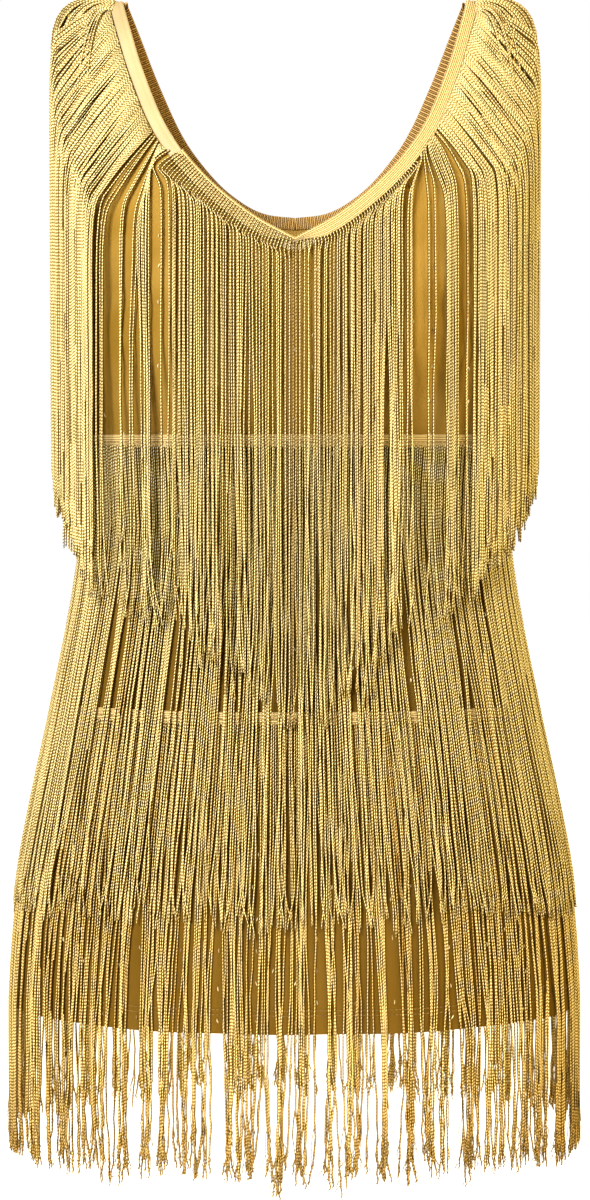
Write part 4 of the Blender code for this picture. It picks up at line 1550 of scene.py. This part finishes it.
@dataclass
class NeckFringe:
    """The fringe along a neck edge: its looped header and strands that sweep out and then hang plumb."""

    form: Form
    face: Face
    halves: dict[int, tuple]
    low_lift: float
    seed: int
    header_top: float = 0.0008
    header_deep: float = 0.0078
    sweep: float = 52.0
    pinch: tuple = ((0.445, 0.1010, -0.1130), (0.425, 0.0920, -0.1105))
    curtain_wide: float = 0.1800
    curtain_deep: float = 0.1130
    curtain_lift: float = 0.0044
    over_tier_lift: float = 0.0080
    past_solid: float = 0.012
    curve_stations: int = 13
    plumb_stations: int = 8
    few: int = 46
    highest_turn: float = -0.012
    below_corner: float = 0.032
    fan_drop: float = 0.030
    fan_slope: float = 0.75
    flatter: float = 22.0
    lead_reach: float = 0.4
    left_shorter: float = 0.27
    metres_a_degree: float = 0.0030
    stray: float = 0.0011
    hook: float = 0.0018

    def roots(self, rng: np.random.Generator) -> tuple[Array, Array, Array, Array, Array]:
        """Share, hand, bearing, turn height and a root inset for every strand of both halves.

        Args:
            rng: the seeded source.

        Returns:
            Those five, one value a strand.
        """
        share, hand, bearing, turn = [], [], [], []
        for side, locks in self.halves.items():
            for lock in locks:
                t = (np.arange(lock.strands) + 0.5) / lock.strands
                share.append(lock.root_from + (lock.root_to - lock.root_from) * t)
                bearing.append(lock.bearing_from + (lock.bearing_to - lock.bearing_from) * t)
                turn.append(lock.turn_from + (lock.turn_to - lock.turn_from) * t)
                hand.append(np.full(lock.strands, float(side)))
        share, hand, bearing, turn = (np.concatenate(found) for found in (share, hand, bearing, turn))
        order = np.argsort(hand * share)
        share, hand, bearing, turn = (found[order] for found in (share, hand, bearing, turn))
        far = ease(share, 0.5, 0.8)
        bearing = bearing - 0.45 * (share < 0.02)
        bearing = np.clip(bearing + rng.normal(0, 0.22 + 0.45 * far), 0.2, 90.5)
        turn = turn + rng.normal(0, 0.0040, len(share)) * (0.3 + 2 * far)
        return share, hand, bearing, np.minimum(turn, self.highest_turn), self.root_inset(share, hand)

    def narrowing(self, share: Array) -> Array:
        """How much of its depth the front header has: it comes to a point where the sides meet."""
        return 1.0 - (0.8 * (1 - ease(share, 0.0, 0.09)) if self.face is Face.FRONT else 0.0 * share)

    def root_inset(self, share: Array, hand: Array) -> Array:
        """Where strands start: under the header's lower edge, or as loops from the neck edge itself.

        On the wearer's right of the front they loop over the edge up to the strap, and there they come
        out from under the bare band.

        Args:
            share: of each root.
            hand: of each root.

        Returns:
            Each root's distance from the edge.
        """
        inset = self.header_top + self.header_deep * 0.9 * self.narrowing(share)
        if self.face is Face.FRONT:
            looped = 0.0002 + 0.0096 * ease(share, 0.37, 0.45)
            inset = inset + (looped - inset) * (hand < 0)
        return inset

    def paths(self) -> tuple[Array, Array, Array, Array]:
        """Strand centre lines: from the edge onto the curtain's ellipse, then plumb.

        Each starts as a quadratic B-spline over five points: its root, a lead point, one on the way to
        a corner above its hang point, the corner, and the hang point. Near the middle front the lead is
        square to the edge. From the strap it lies on a straight slope to the corner, and at the two fans
        it is a shared knot.

        Returns:
            Points, outward directions, radii and tones.
        """
        rng = np.random.default_rng(self.seed)
        share, hand, degrees, turn, inset = self.roots(rng)
        count = len(share)
        bearing = np.radians(degrees)
        edge_x, edge_z = self.form.edge(self.face, share, hand, inset)
        root, root_out = self.form.on_form(self.face, edge_x, edge_z, np.full(count, self.low_lift + YARN))
        pile = rng.uniform(0, 1, count) * (0.0006 + 0.0019 * ease(share, 0.45, 0.9))
        wide, deep = self.curtain_wide + pile, self.curtain_deep + pile
        plan_x = hand * wide * np.sin(bearing)
        falls = ease(share, 0.44, 0.54)
        angle = self.sweep - self.flatter * ease(share, 0.88, 1.0) + rng.normal(0, 1.6, count)
        slope = np.tan(np.radians(angle))
        corner = edge_z - np.abs(plan_x - edge_x) * slope
        straight, drawn, knot = falls, 0 * share, np.zeros((count, 3))
        if self.face is Face.FRONT:
            knot = np.array(self.pinch)[((hand + 1) // 2).astype(int)]
            drawn = np.exp(-(((share - knot[:, 0]) / 0.040) ** 2))
            aside = np.abs(np.abs(plan_x) - knot[:, 1])
            from_knot = knot[:, 2] - self.fan_drop - self.fan_slope * aside + rng.normal(0, 0.004, count)
            corner = corner + (from_knot - corner) * drawn
            straight = np.maximum(falls, drawn)
        under = np.minimum(corner - self.below_corner, self.highest_turn)
        turn = turn + (under - turn) * straight
        hang = np.stack([plan_x, self.face.value * deep * np.cos(bearing), turn], axis=-1)
        reach = np.linalg.norm(hang - root, axis=-1)
        short = self.left_shorter * (hand > 0) * (self.face is Face.FRONT)
        into = inset + (self.lead_reach - short) * reach
        square_x, square_z = self.form.edge(self.face, share, hand, into)
        lead_x = square_x + (edge_x + 0.45 * (plan_x - edge_x) - square_x) * falls
        lead_z = square_z + (edge_z + 0.45 * (corner - edge_z) - square_z) * falls
        lead_x = lead_x + (hand * knot[:, 1] - lead_x) * drawn
        lead_z = lead_z + (knot[:, 2] - lead_z) * drawn
        middle = 1 - ease(share, 0.0, 0.06)
        lead_x = lead_x + (plan_x - lead_x) * middle
        lead_z = np.minimum(lead_z, self.form.seam_height(np.abs(lead_x)))
        lead, _ = self.form.on_form(self.face, lead_x, lead_z, self.low_lift + YARN + pile)
        above = hang.copy()
        above[:, 2] += 0.5 * reach + (np.maximum(corner - turn, 0.004) - 0.5 * reach) * straight
        t = np.linspace(0, 1, self.curve_stations)[None, :, None]
        near = lead + (above - lead) * (0.5 + 0.13 * straight)[:, None]
        points = [found[:, None] for found in (root, lead, near, above, hang)]
        joints = [points[0], (points[1] + points[2]) / 2, (points[2] + points[3]) / 2, points[4]]
        curve = np.zeros((count, self.curve_stations, 3))
        for part_at in range(3):
            a = np.clip(3 * t - part_at, 0, 1)
            begin, bend, finish = joints[part_at], points[part_at + 1], joints[part_at + 1]
            arc = (1 - a) ** 2 * begin + 2 * a * (1 - a) * bend + a * a * finish
            curve = np.where((3 * t >= part_at) & (3 * t <= part_at + 1), arc, curve)
        used = np.linalg.norm(np.diff(curve, axis=1), axis=-1).sum(1)
        uneven = np.repeat(rng.normal(0, 0.0055, count), 4)[:count]
        left = FRINGE_DROP + self.past_solid - used + rng.normal(0, 0.0024, count) + uneven
        down = tipwards(self.plumb_stations + 1)[1:]
        plumb = np.repeat(curve[:, -1:], self.plumb_stations, axis=1)
        plumb[:, :, 2] -= left[:, None] * down
        path = np.concatenate([curve, plumb], axis=1)
        pieces = np.linalg.norm(np.diff(path, axis=1), axis=-1)
        length = np.concatenate([np.zeros((count, 1)), np.cumsum(pieces, 1)], 1)
        along = length / length[:, -1:]
        path = self.clear(path, pile, length)
        plan_y = self.face.value * np.cos(bearing) / deep
        plan = np.stack([hand * np.sin(bearing) / wide, plan_y, 0 * bearing], -1)
        settle = ease(length / np.maximum(used, 1e-6)[:, None], 0.3, 1.0)[..., None]
        out = unit(root_out[:, None] * (1 - settle) + unit(plan)[:, None] * settle)
        sideways = unit(np.cross(out, np.array([0, 0, 1.0])))
        hanging = ease(length - used[:, None] * 0.6, 0.0, 0.12)
        steps = np.diff(hang[:, :2], axis=0, prepend=hang[:1, :2])
        own = np.cumsum(np.linalg.norm(steps, axis=-1)) * self.face.value
        move = wander(count, along, rng, self.stray) * (0.25 + 0.75 * hanging)
        move = move + gather_tips(own, ease(along, 0.80, 1.0), rng, (2, 6), 0.7)
        move = move + curl(count, along, rng, self.hook, 0.0)
        narrow = narrow_gaps(rng, self.few, 60, (2.0, 0.30), -0.19, (0.0, 0.18), (0.05, 0.12))
        ground = part(degrees * hand, path[:, :, 2], np.array(narrow)) * self.metres_a_degree
        path = path + sideways * (move + ground * self.face.value)[..., None]
        radius = yarn_radius(along, rng)
        tone = np.clip(rng.normal(0.70, 0.20, count), 0, 1)
        return path, out, radius, np.repeat(tone, path.shape[1] * 3)

    def clear(self, path: Array, pile: Array, length: Array) -> Array:
        """Bring strands out of the cloth and the tape; once pushed out, a strand hangs plumb.

        Args:
            path: centre lines.
            pile: each strand's own height over the cloth.
            length: distance from the root at each station.

        Returns:
            The centre lines, moved out.
        """
        path = path.copy()
        x, z = path[..., 0], path[..., 2]
        tier = ease(-z, -BUST_TAPE - 0.035, -BUST_TAPE - 0.005)
        lift = self.curtain_lift + (self.over_tier_lift - self.curtain_lift) * tier + pile[:, None]
        lift = self.low_lift + YARN + (lift - self.low_lift - YARN) * ease(length, 0.0, 0.03)
        inside = np.abs(x) < self.form.measure("half_width", z)
        out = np.where(inside, self.form.stand_off(self.face, x, z) + lift, 0)
        depth = np.maximum(self.face.value * path[..., 1], out)
        path[..., 1] = self.face.value * np.maximum.accumulate(depth, axis=1)
        return path

    def header(self, finish: Material) -> Piece:
        """The woven header: raised rows along the edge, crossed by loops at 2.2 mm.

        Where the strands loop over the edge, the header is a thin tape under them.

        Args:
            finish: the woven tape.

        Returns:
            The header.
        """
        first = -0.40 if self.face is Face.FRONT else -1.0
        line = self.form.edge_line(self.face, first, 900)
        share, hand, along = line
        thick = ease(hand * share, -0.02, 0.02) if self.face is Face.FRONT else np.ones_like(share)
        loops = np.abs(np.sin(np.pi * along / LOOP_PITCH))
        insets = np.array([-0.0019, -0.0014, 0.0001, 0.0012, 0.0025,
                           0.0038, 0.0051, 0.0064, 0.0074, 0.0079])
        rows = np.array([0.30, 0.9, 1.25, 0.25, 1.15, 0.25, 1.15, 0.25, 1.1, 0.5])
        narrow = self.narrowing(share)
        section = []
        for inset, row in zip(insets, rows):
            out = self.header_top + max(inset, 0.0) * narrow + min(inset, 0.0)
            out = out - 0.0006 * loops * (inset < -0.001)
            rise = self.low_lift + (0.0003 + 0.0012 * thick) * row * (0.72 + 0.28 * loops)
            section.append((out, rise))
        for inset in insets[[-1, 0]]:
            under = self.header_top + max(inset, 0.0) * narrow + min(inset, 0.0)
            section.append((under, self.low_lift))
        across = np.concatenate([insets, insets[[-1, 0, 0]]]) - 0.0012
        shape = self.form.strip(self.face, line, section, across)
        return make_mesh(f"neck_fringe_{self.face.name.lower()}_header", *shape, finish, "fringe")

    def fringe(self, finish: Material) -> Piece:
        """The strands of this neck edge as one piece.

        Args:
            finish: the yarn.

        Returns:
            The piece.
        """
        points, out, radius, tone = self.paths()
        name = f"neck_fringe_{self.face.name.lower()}"
        shape = strands(points, out, radius, self.seed)
        made = make_mesh(f"{name}_strands", *shape, finish, "fringe", tone)
        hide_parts(name)
        return made


@dataclass
class ShoulderFringe:
    """Strands of the headers' ends that lie over the shoulder seam and drop at the armhole."""

    form: Form
    strands: int = 84
    curtain_wide: float = 0.1795
    curtain_deep: float = 0.116
    curve_stations: int = 11
    plumb_stations: int = 9
    seed: int = 33

    def paths(self) -> tuple[Array, Array, Array, Array]:
        """A cubic Bezier from the neck edge along the seam and over its end, then plumb.

        A strand lies at a drop of 10 mm x t^2 from the seam, on the front for t below 0 and on the
        back above it, which spreads the strands evenly over the shoulder.

        Returns:
            Points, outward directions, radii and tones.
        """
        rng = np.random.default_rng(self.seed)
        count = 2 * self.strands
        hand = np.repeat([-1.0, 1.0], self.strands)
        t = np.tile(np.linspace(-1, 1, self.strands), 2)
        t = np.sign(t) * np.abs(t) ** 1.25
        pile = rng.uniform(0, 0.0030, count)

        def on_seam(x: Array, lift: Array) -> Array:
            """Points near the seam at distance x from the middle, moved up by lift.

            Args:
                x: distance across.
                lift: distance up.

            Returns:
                Points, one a strand.
            """
            z = self.form.seam_height(x) - 0.0004 - 0.010 * t**2
            out = self.form.stand_off(Face.FRONT, x, z)
            return np.stack([hand * x, out * np.clip(t / 0.3, -1, 1), z + lift], axis=-1)

        root = on_seam(0.1345 + rng.uniform(0, 0.003, count), 0.0028 + 0 * t)
        lead = on_seam(0.157 - 0.011 * np.abs(t), 0.0068 + pile)
        turned = 0.50 * t + rng.normal(0, 0.03, count)
        turn = -0.034 - 0.060 * np.abs(t) - 0.020 * rng.random(count)
        hang_x = hand * (self.curtain_wide + pile) * np.cos(turned)
        hang = np.stack([hang_x, self.curtain_deep * np.sin(turned), turn], axis=-1)
        rise = 0.015 - 0.027 * np.abs(t)
        above = np.stack([hang[:, 0] * (1.03 - 0.06 * np.abs(t)), hang[:, 1] * 0.8, rise + pile], axis=-1)
        s = np.linspace(0, 1, self.curve_stations)[None, :, None]
        curve = (1 - s) ** 3 * root[:, None] + 3 * s * (1 - s) ** 2 * lead[:, None]
        curve = curve + 3 * s * s * (1 - s) * above[:, None] + s**3 * hang[:, None]
        used = np.linalg.norm(np.diff(curve, axis=1), axis=-1).sum(1)
        down = tipwards(self.plumb_stations + 1)[1:]
        plumb = np.repeat(curve[:, -1:], self.plumb_stations, axis=1)
        plumb[:, :, 2] -= (FRINGE_DROP - used + rng.normal(0, 0.003, count))[:, None] * down
        path = np.concatenate([curve, plumb], axis=1)
        share = np.linspace(0, 1, path.shape[1])[None] * np.ones((count, 1))
        out = np.stack([hand[:, None] * ease(share, 0.2, 0.6), t[:, None] * 1.2 + 0 * share,
                        1 - ease(share, 0.15, 0.55)], axis=-1)
        out = unit(out)
        move = wander(count, share, rng, 0.0012) + curl(count, share, rng, 0.0018, 0.0)
        path[..., 1] += move
        radius = yarn_radius(share, rng)
        tone = np.clip(rng.normal(0.6, 0.25, count), 0, 1)
        return path, out, radius, np.repeat(tone, path.shape[1] * 3)

    def fringe(self, finish: Material) -> Piece:
        """Both shoulders' strands as one piece.

        Args:
            finish: the yarn.

        Returns:
            The piece.
        """
        points, out, radius, tone = self.paths()
        shape = strands(points, out, radius, self.seed)
        return make_mesh("neck_fringe_shoulder_strands", *shape, finish, "fringe", tone)


@dataclass
class NeckTrims:
    """The satin band round the front neck edge and the ribbed trim inside the back one."""

    form: Form
    band_wide: float = 0.0085
    rib: float = RIB_PITCH

    def band(self, finish: Material) -> Piece:
        """A folded band: a bead at the neck edge, a flat run, and a thin stitched outer edge.

        Args:
            finish: the satin.

        Returns:
            The band.
        """
        line = self.form.edge_line(Face.FRONT, -1.0, 320)
        share, hand, _ = line
        bare = ease(share, 0.36, 0.47) * (hand < 0)
        insets = np.array([-0.0011, -0.0008, 0.0002, 0.0014, 0.0021,
                           0.0026, 0.0050, 0.0078, 0.0087, 0.0091])
        lifts = np.array([0.0004, 0.0013, 0.0018, 0.0014, 0.0009,
                          0.0010, 0.0012, 0.0011, 0.0009, 0.0004])
        top = np.array([0.0, 0.2, 0.4, 0.6, 0.8, 1.0, 1.0, 1.0, 1.0, 1.0]) * 0.0014
        section = []
        for inset, lift, more in zip(insets, lifts, top):
            tucked = max(inset, 0.0)
            section.append((tucked + (inset - tucked) * bare, lift + more * bare - 0.0004 * (1 - bare)))
        under = (self.band_wide, -0.0006)
        section += [(inset, -0.0001) for inset in under]
        across = np.concatenate([insets, under, insets[:1]])
        shape = self.form.strip(Face.FRONT, line, section, across)
        made = make_mesh("neck_band_satin", *shape, finish, "satin")
        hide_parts("neck_band")
        return made

    def trim(self, finish: Material) -> Piece:
        """Ribbed elastic: round ribs square to the edge, each a half sine, with a corded lower edge.

        Args:
            finish: the elastic.

        Returns:
            The trim.
        """
        line = self.form.edge_line(Face.BACK, -1.0, 1300)
        ribs = np.abs(np.sin(np.pi * line[2] / self.rib)) ** 0.7
        insets = np.array([-0.0042, -0.0039, -0.0028, 0.0000, 0.0020, 0.0040, 0.0050, 0.0053])
        rise = np.array([0.0, 0.6, 0.9, 0.9, 0.9, 0.9, 0.7, 0.1])
        depths = [-WALL - SEAM_GAP - 0.0015 * row * (0.30 + 0.70 * ribs) for row in rise]
        section = list(zip(insets, depths)) + [(inset, -WALL - 0.00015) for inset in insets[[-1, 0]]]
        across = np.concatenate([insets, insets[[-1, 0, 0]]])
        shape = self.form.strip(Face.BACK, line, section, across)
        made = make_mesh("back_neck_trim_rib", *shape, finish, "rib")
        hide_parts("back_neck_trim")
        return made


@dataclass
class Sewing:
    """Stitches and small slubs: rows at the hem, the armholes and the tapes, and the knit's picks.

    A stitch and a pick are each given as length and radius of the thread.
    """

    panels: dict[Face, Cloth]
    round: Round
    stitch: tuple = (0.0026, 0.00026)
    pick: tuple = (0.0034, 0.00060)
    pitch: float = 0.0034
    pick_across: float = 0.014
    pick_down: float = 0.024
    armhole_rows: int = 62
    armhole_turn: float = 0.007

    def rows_round(self, height: float, lift: float) -> tuple[Array, Array, Array]:
        """Middles, directions and normals of stitches right round at one height.

        Args:
            height: of the row.
            lift: distance out from the cloth.

        Returns:
            Those three, one row a stitch.
        """
        _, length = self.round.even_places(height, 4)
        count = int(length / self.pitch)
        place, _ = self.round.even_places(height, count)
        points, out = self.round.at(np.full(count, height), place, lift)
        ahead, _ = self.round.at(np.full(count, height), place + 0.05, lift)
        return points, unit(ahead - points), out

    def sewn(self, name: str, rows: list, size: tuple, finish: Material, slot: str) -> Piece:
        """Join rows of stitches in one piece.

        Args:
            name: the piece's name.
            rows: middles, directions and normals of each row.
            size: length and radius of a stitch.
            finish: the thread.
            slot: the record's material slot.

        Returns:
            The piece.
        """
        parts = [np.concatenate(found) for found in zip(*rows)]
        return make_mesh(name, *pill_stitches(*parts, *size), finish, slot)

    def hem(self, finish: Material) -> Piece:
        """Two rows of cover stitch that hold the turned hem."""
        rows = [self.rows_round(HEM_TURN + offset, 0.0) for offset in (0.0006, -0.0030)]
        return self.sewn("hem_stitching", rows, self.stitch, finish, "knit")

    def tapes(self, finish: Material) -> Piece:
        """A row of stitches along the middle of each tier's tape."""
        rows = [self.rows_round(top - 0.0045, SEAM_GAP + 0.0012) for top in (BUST_TAPE, HIP_TAPE)]
        return self.sewn("tape_stitching", rows, self.stitch, finish, "fringe")

    def armholes(self, finish: Material) -> Piece:
        """A row of stitches 7 mm in from each turned armhole edge.

        Args:
            finish: the thread.

        Returns:
            The stitches.
        """
        found = []
        for cloth in self.panels.values():
            for hand in (-1, 1):
                rows = np.linspace(cloth.lower_rows + 1.0, len(cloth.v) - 2.0, self.armhole_rows)
                half = (hand + 1) // 2
                row = np.round(rows).astype(int)
                width = np.linalg.norm(np.diff(cloth.points[half], axis=1), axis=-1).sum(-1)[row]
                at = self.armhole_turn / width * cloth.columns
                points, out = cloth.at(np.full(self.armhole_rows, hand), rows, at, 0.0 * rows)
                found.append((points, unit(np.gradient(points, axis=0)), out))
        return self.sewn("armhole_stitching", found, self.stitch, finish, "knit")

    def picks(self, finish: Material) -> Piece:
        """Tiny pulled picks of the knit, in staggered columns 14 mm apart and 24 mm down.

        Args:
            finish: the picks' thread.

        Returns:
            The picks.
        """
        rng = np.random.default_rng(71)
        found = []
        for cloth in self.panels.values():
            columns = np.arange(-0.21, 0.211, self.pick_across)
            x, z = np.meshgrid(columns, np.arange(-0.735, -0.03, self.pick_down))
            staggered = self.pick_down / 2 * (np.round(x / self.pick_across) % 2)
            z = z + staggered + rng.normal(0, 0.0006, x.shape)
            x = x + rng.normal(0, 0.0006, x.shape)
            keep = rng.random(x.shape) < 0.8
            flat = cloth.points.reshape(-1, 3)
            wanted = np.stack([x[keep], z[keep]], axis=-1)
            away = ((wanted[:, None] - flat[None, :, [0, 2]]) ** 2).sum(-1)
            nearest = away.argmin(1)
            near = away.min(1) < 0.003**2
            points = flat[nearest[near]]
            out = cloth.normals.reshape(-1, 3)[nearest[near]]
            along = unit(np.cross(np.cross(out, [0, 0, 1.0]), out) + rng.normal(0, 0.25, points.shape))
            found.append((points + out * 0.0003, along, out))
        return self.sewn("knit_picks", found, self.pick, finish, "knit")


@dataclass
class Studio:
    """Camera, lights, background and floor."""

    far: float = 2.15
    height: float = -0.319
    tilt: float = 3.24
    lens: float = 84.9
    floor: float = -1.38
    ambient: float = 0.46
    paper_half: float = 14.0
    aim_height: float = -0.35

    def camera(self) -> None:
        """Stand in front at bust height and look a little down."""
        data = bpy.data.cameras.new("front")
        data.lens = self.lens
        data.sensor_width = 36
        camera = bpy.data.objects.new("front_camera", data)
        camera.location = (0.0, -self.far, self.height)
        camera.rotation_euler = (np.radians(90 - self.tilt), 0, 0)
        bpy.context.scene.collection.objects.link(camera)
        bpy.context.scene.camera = camera

    def lights(self) -> None:
        """A soft key at the front left, a warm weak fill at the right, two lights behind, and a bounce."""
        for name, place, size, power, colour in (
            ("key", (-0.92, -2.03, 0.62), 0.8, 112, (0.98, 0.98, 1.02)),
            ("fill", (1.9, -1.4, 0.2), 1.4, 46, (1.0, 0.82, 0.44)),
            ("rim", (-1.3, 1.7, 0.9), 1.2, 48, (1.0, 0.96, 0.88)),
            ("side", (1.6, 1.3, 0.6), 1.2, 34, (1.0, 0.92, 0.80)),
            ("bounce", (0.0, -0.30, -1.32), 0.9, 16, (1.0, 0.88, 0.55)),
        ):
            data = bpy.data.lights.new(name, "AREA")
            data.size = size
            data.energy = power
            data.color = colour
            light = bpy.data.objects.new(f"{name}_light", data)
            light.location = place
            aim = np.array([0, 0, self.aim_height]) - np.array(place)
            yaw = np.arctan2(aim[0], -aim[1])
            pitch = np.arctan2(np.hypot(aim[0], aim[1]), -aim[2])
            light.rotation_euler = (pitch, 0, yaw + np.pi)
            light.visible_camera = False
            bpy.context.scene.collection.objects.link(light)

    def surround(self) -> None:
        """White paper all round: bright to the eye, and a weak light on the dress."""
        bpy.context.scene.view_settings.view_transform = "Standard"
        world = bpy.data.worlds.new("white surround")
        world.use_nodes = True
        tree = world.node_tree
        tree.nodes.clear()
        seen = add_node(tree, "ShaderNodeLightPath", {}, {}).outputs["Is Camera Ray"]
        weak, white = (
            add_node(tree, "ShaderNodeBackground", {"Color": colour, "Strength": strength}, {})
            for colour, strength in (((1, 0.77, 0.28, 1), self.ambient), ((1, 1, 1, 1), 1.0))
        )
        both = add_node(tree, "ShaderNodeMixShader", {}, {0: seen, 1: weak.outputs[0], 2: white.outputs[0]})
        add_node(tree, "ShaderNodeOutputWorld", {}, {"Surface": both.outputs[0]})
        bpy.context.scene.world = world

    def ground(self) -> None:
        """A pale paper floor, where the wearer would stand."""
        size = self.paper_half
        corner = np.array([[-size, -size, 0], [size, -size, 0], [size, size, 0], [-size, size, 0]])
        mesh = bpy.data.meshes.new("floor")
        mesh.from_pydata((corner + [0, 0, self.floor]).tolist(), [], [[0, 1, 2, 3]])
        mesh.materials.append(StudioPaper().material())
        floor = bpy.data.objects.new("floor", mesh)
        # Its glow would bleach the fringe from below, so it lights nothing; the bounce light stands in
        floor.visible_diffuse = False
        floor.visible_glossy = False
        bpy.context.scene.collection.objects.link(floor)


def main() -> None:
    """Build the dress in order: cloth, trims, tiers, neck fringe, sewing, and the studio."""
    logging.basicConfig(level=logging.INFO, format="%(name)s: %(message)s")
    studio = Studio()
    studio.camera()
    form = Form()
    knit = StretchKnit().material()
    yarn = TwistedYarn().material()
    # Colours in order: painted highlight on the ply crests, body, painted shade in the grooves and sides,
    # deep tone
    deeper = TwistedYarn("twisted viscose fringe yarn, deep gold", "#feecaa", "#e4bb57",
                         "#4d3200", "#a97810").material()
    tape = WovenTape().material()
    thread = SewingThread("polyester sewing thread, ochre", "#a98239", "#6f4e12").material()
    pick = SewingThread("pulled knit picks, pale and dark", "#fbe9ae", "#6d4705").material()
    panels = {face: Cloth(form, face) for face in Face}
    cloth = {face: panels[face].piece(knit) for face in Face}
    around = Round(panels)
    trims = NeckTrims(form)
    band = trims.band(SatinBand().material())
    trim = trims.trim(RibElastic().material())
    bust = TierFringe(
        "bust_fringe", around, BUST_TAPE, strands=520, partings=(), seed=21, hook=0.0022,
        lifts=((-0.316, 0.0012), (-0.410, 0.0014), (-0.500, 0.0034), (-0.651, 0.0036)),
        drawn_from=0.74, past_solid=0.0165,
    )
    hip_gaps = HIP_PARTINGS + through(HIP_PARTINGS, far=1.13)
    hip = TierFringe(
        "hip_fringe", around, HIP_TAPE, strands=600, partings=hip_gaps, seed=22, hook=0.0020,
        lifts=((-0.516, 0.0012), (-0.590, 0.0012), (-0.745, 0.0013), (-0.851, 0.0014)),
        crimp=0.0006, stray=0.0016, drawn_from=0.62, deep_tips=0.6, frayed=2, loose=0.14, gap=0.42,
    )
    bust_tape, hip_tape = bust.tape(tape), hip.tape(tape)
    bust_strands, hip_strands = bust.fringe(yarn), hip.fringe(deeper)
    front_halves, back_halves = {-1: RIGHT_OF_WEARER, 1: LEFT_OF_WEARER}, {-1: BACK_HALF, 1: BACK_HALF}
    front_neck = NeckFringe(form, Face.FRONT, front_halves, low_lift=0.0018, seed=31)
    back_neck = NeckFringe(form, Face.BACK, back_halves, low_lift=0.0008, seed=32)
    headers = [neck.header(tape) for neck in (front_neck, back_neck)]
    neck_strands = [neck.fringe(yarn) for neck in (front_neck, back_neck)]
    neck_strands.append(ShoulderFringe(form).fringe(yarn))
    sewing = Sewing(panels, around)
    sewn = [sewing.hem(thread), sewing.tapes(thread), sewing.armholes(thread), sewing.picks(pick)]
    LOG.info("%d sewing pieces, %d headers", len(sewn), len(headers))
    studio.lights()
    studio.surround()
    studio.ground()


if __name__ == "__main__":
    main()
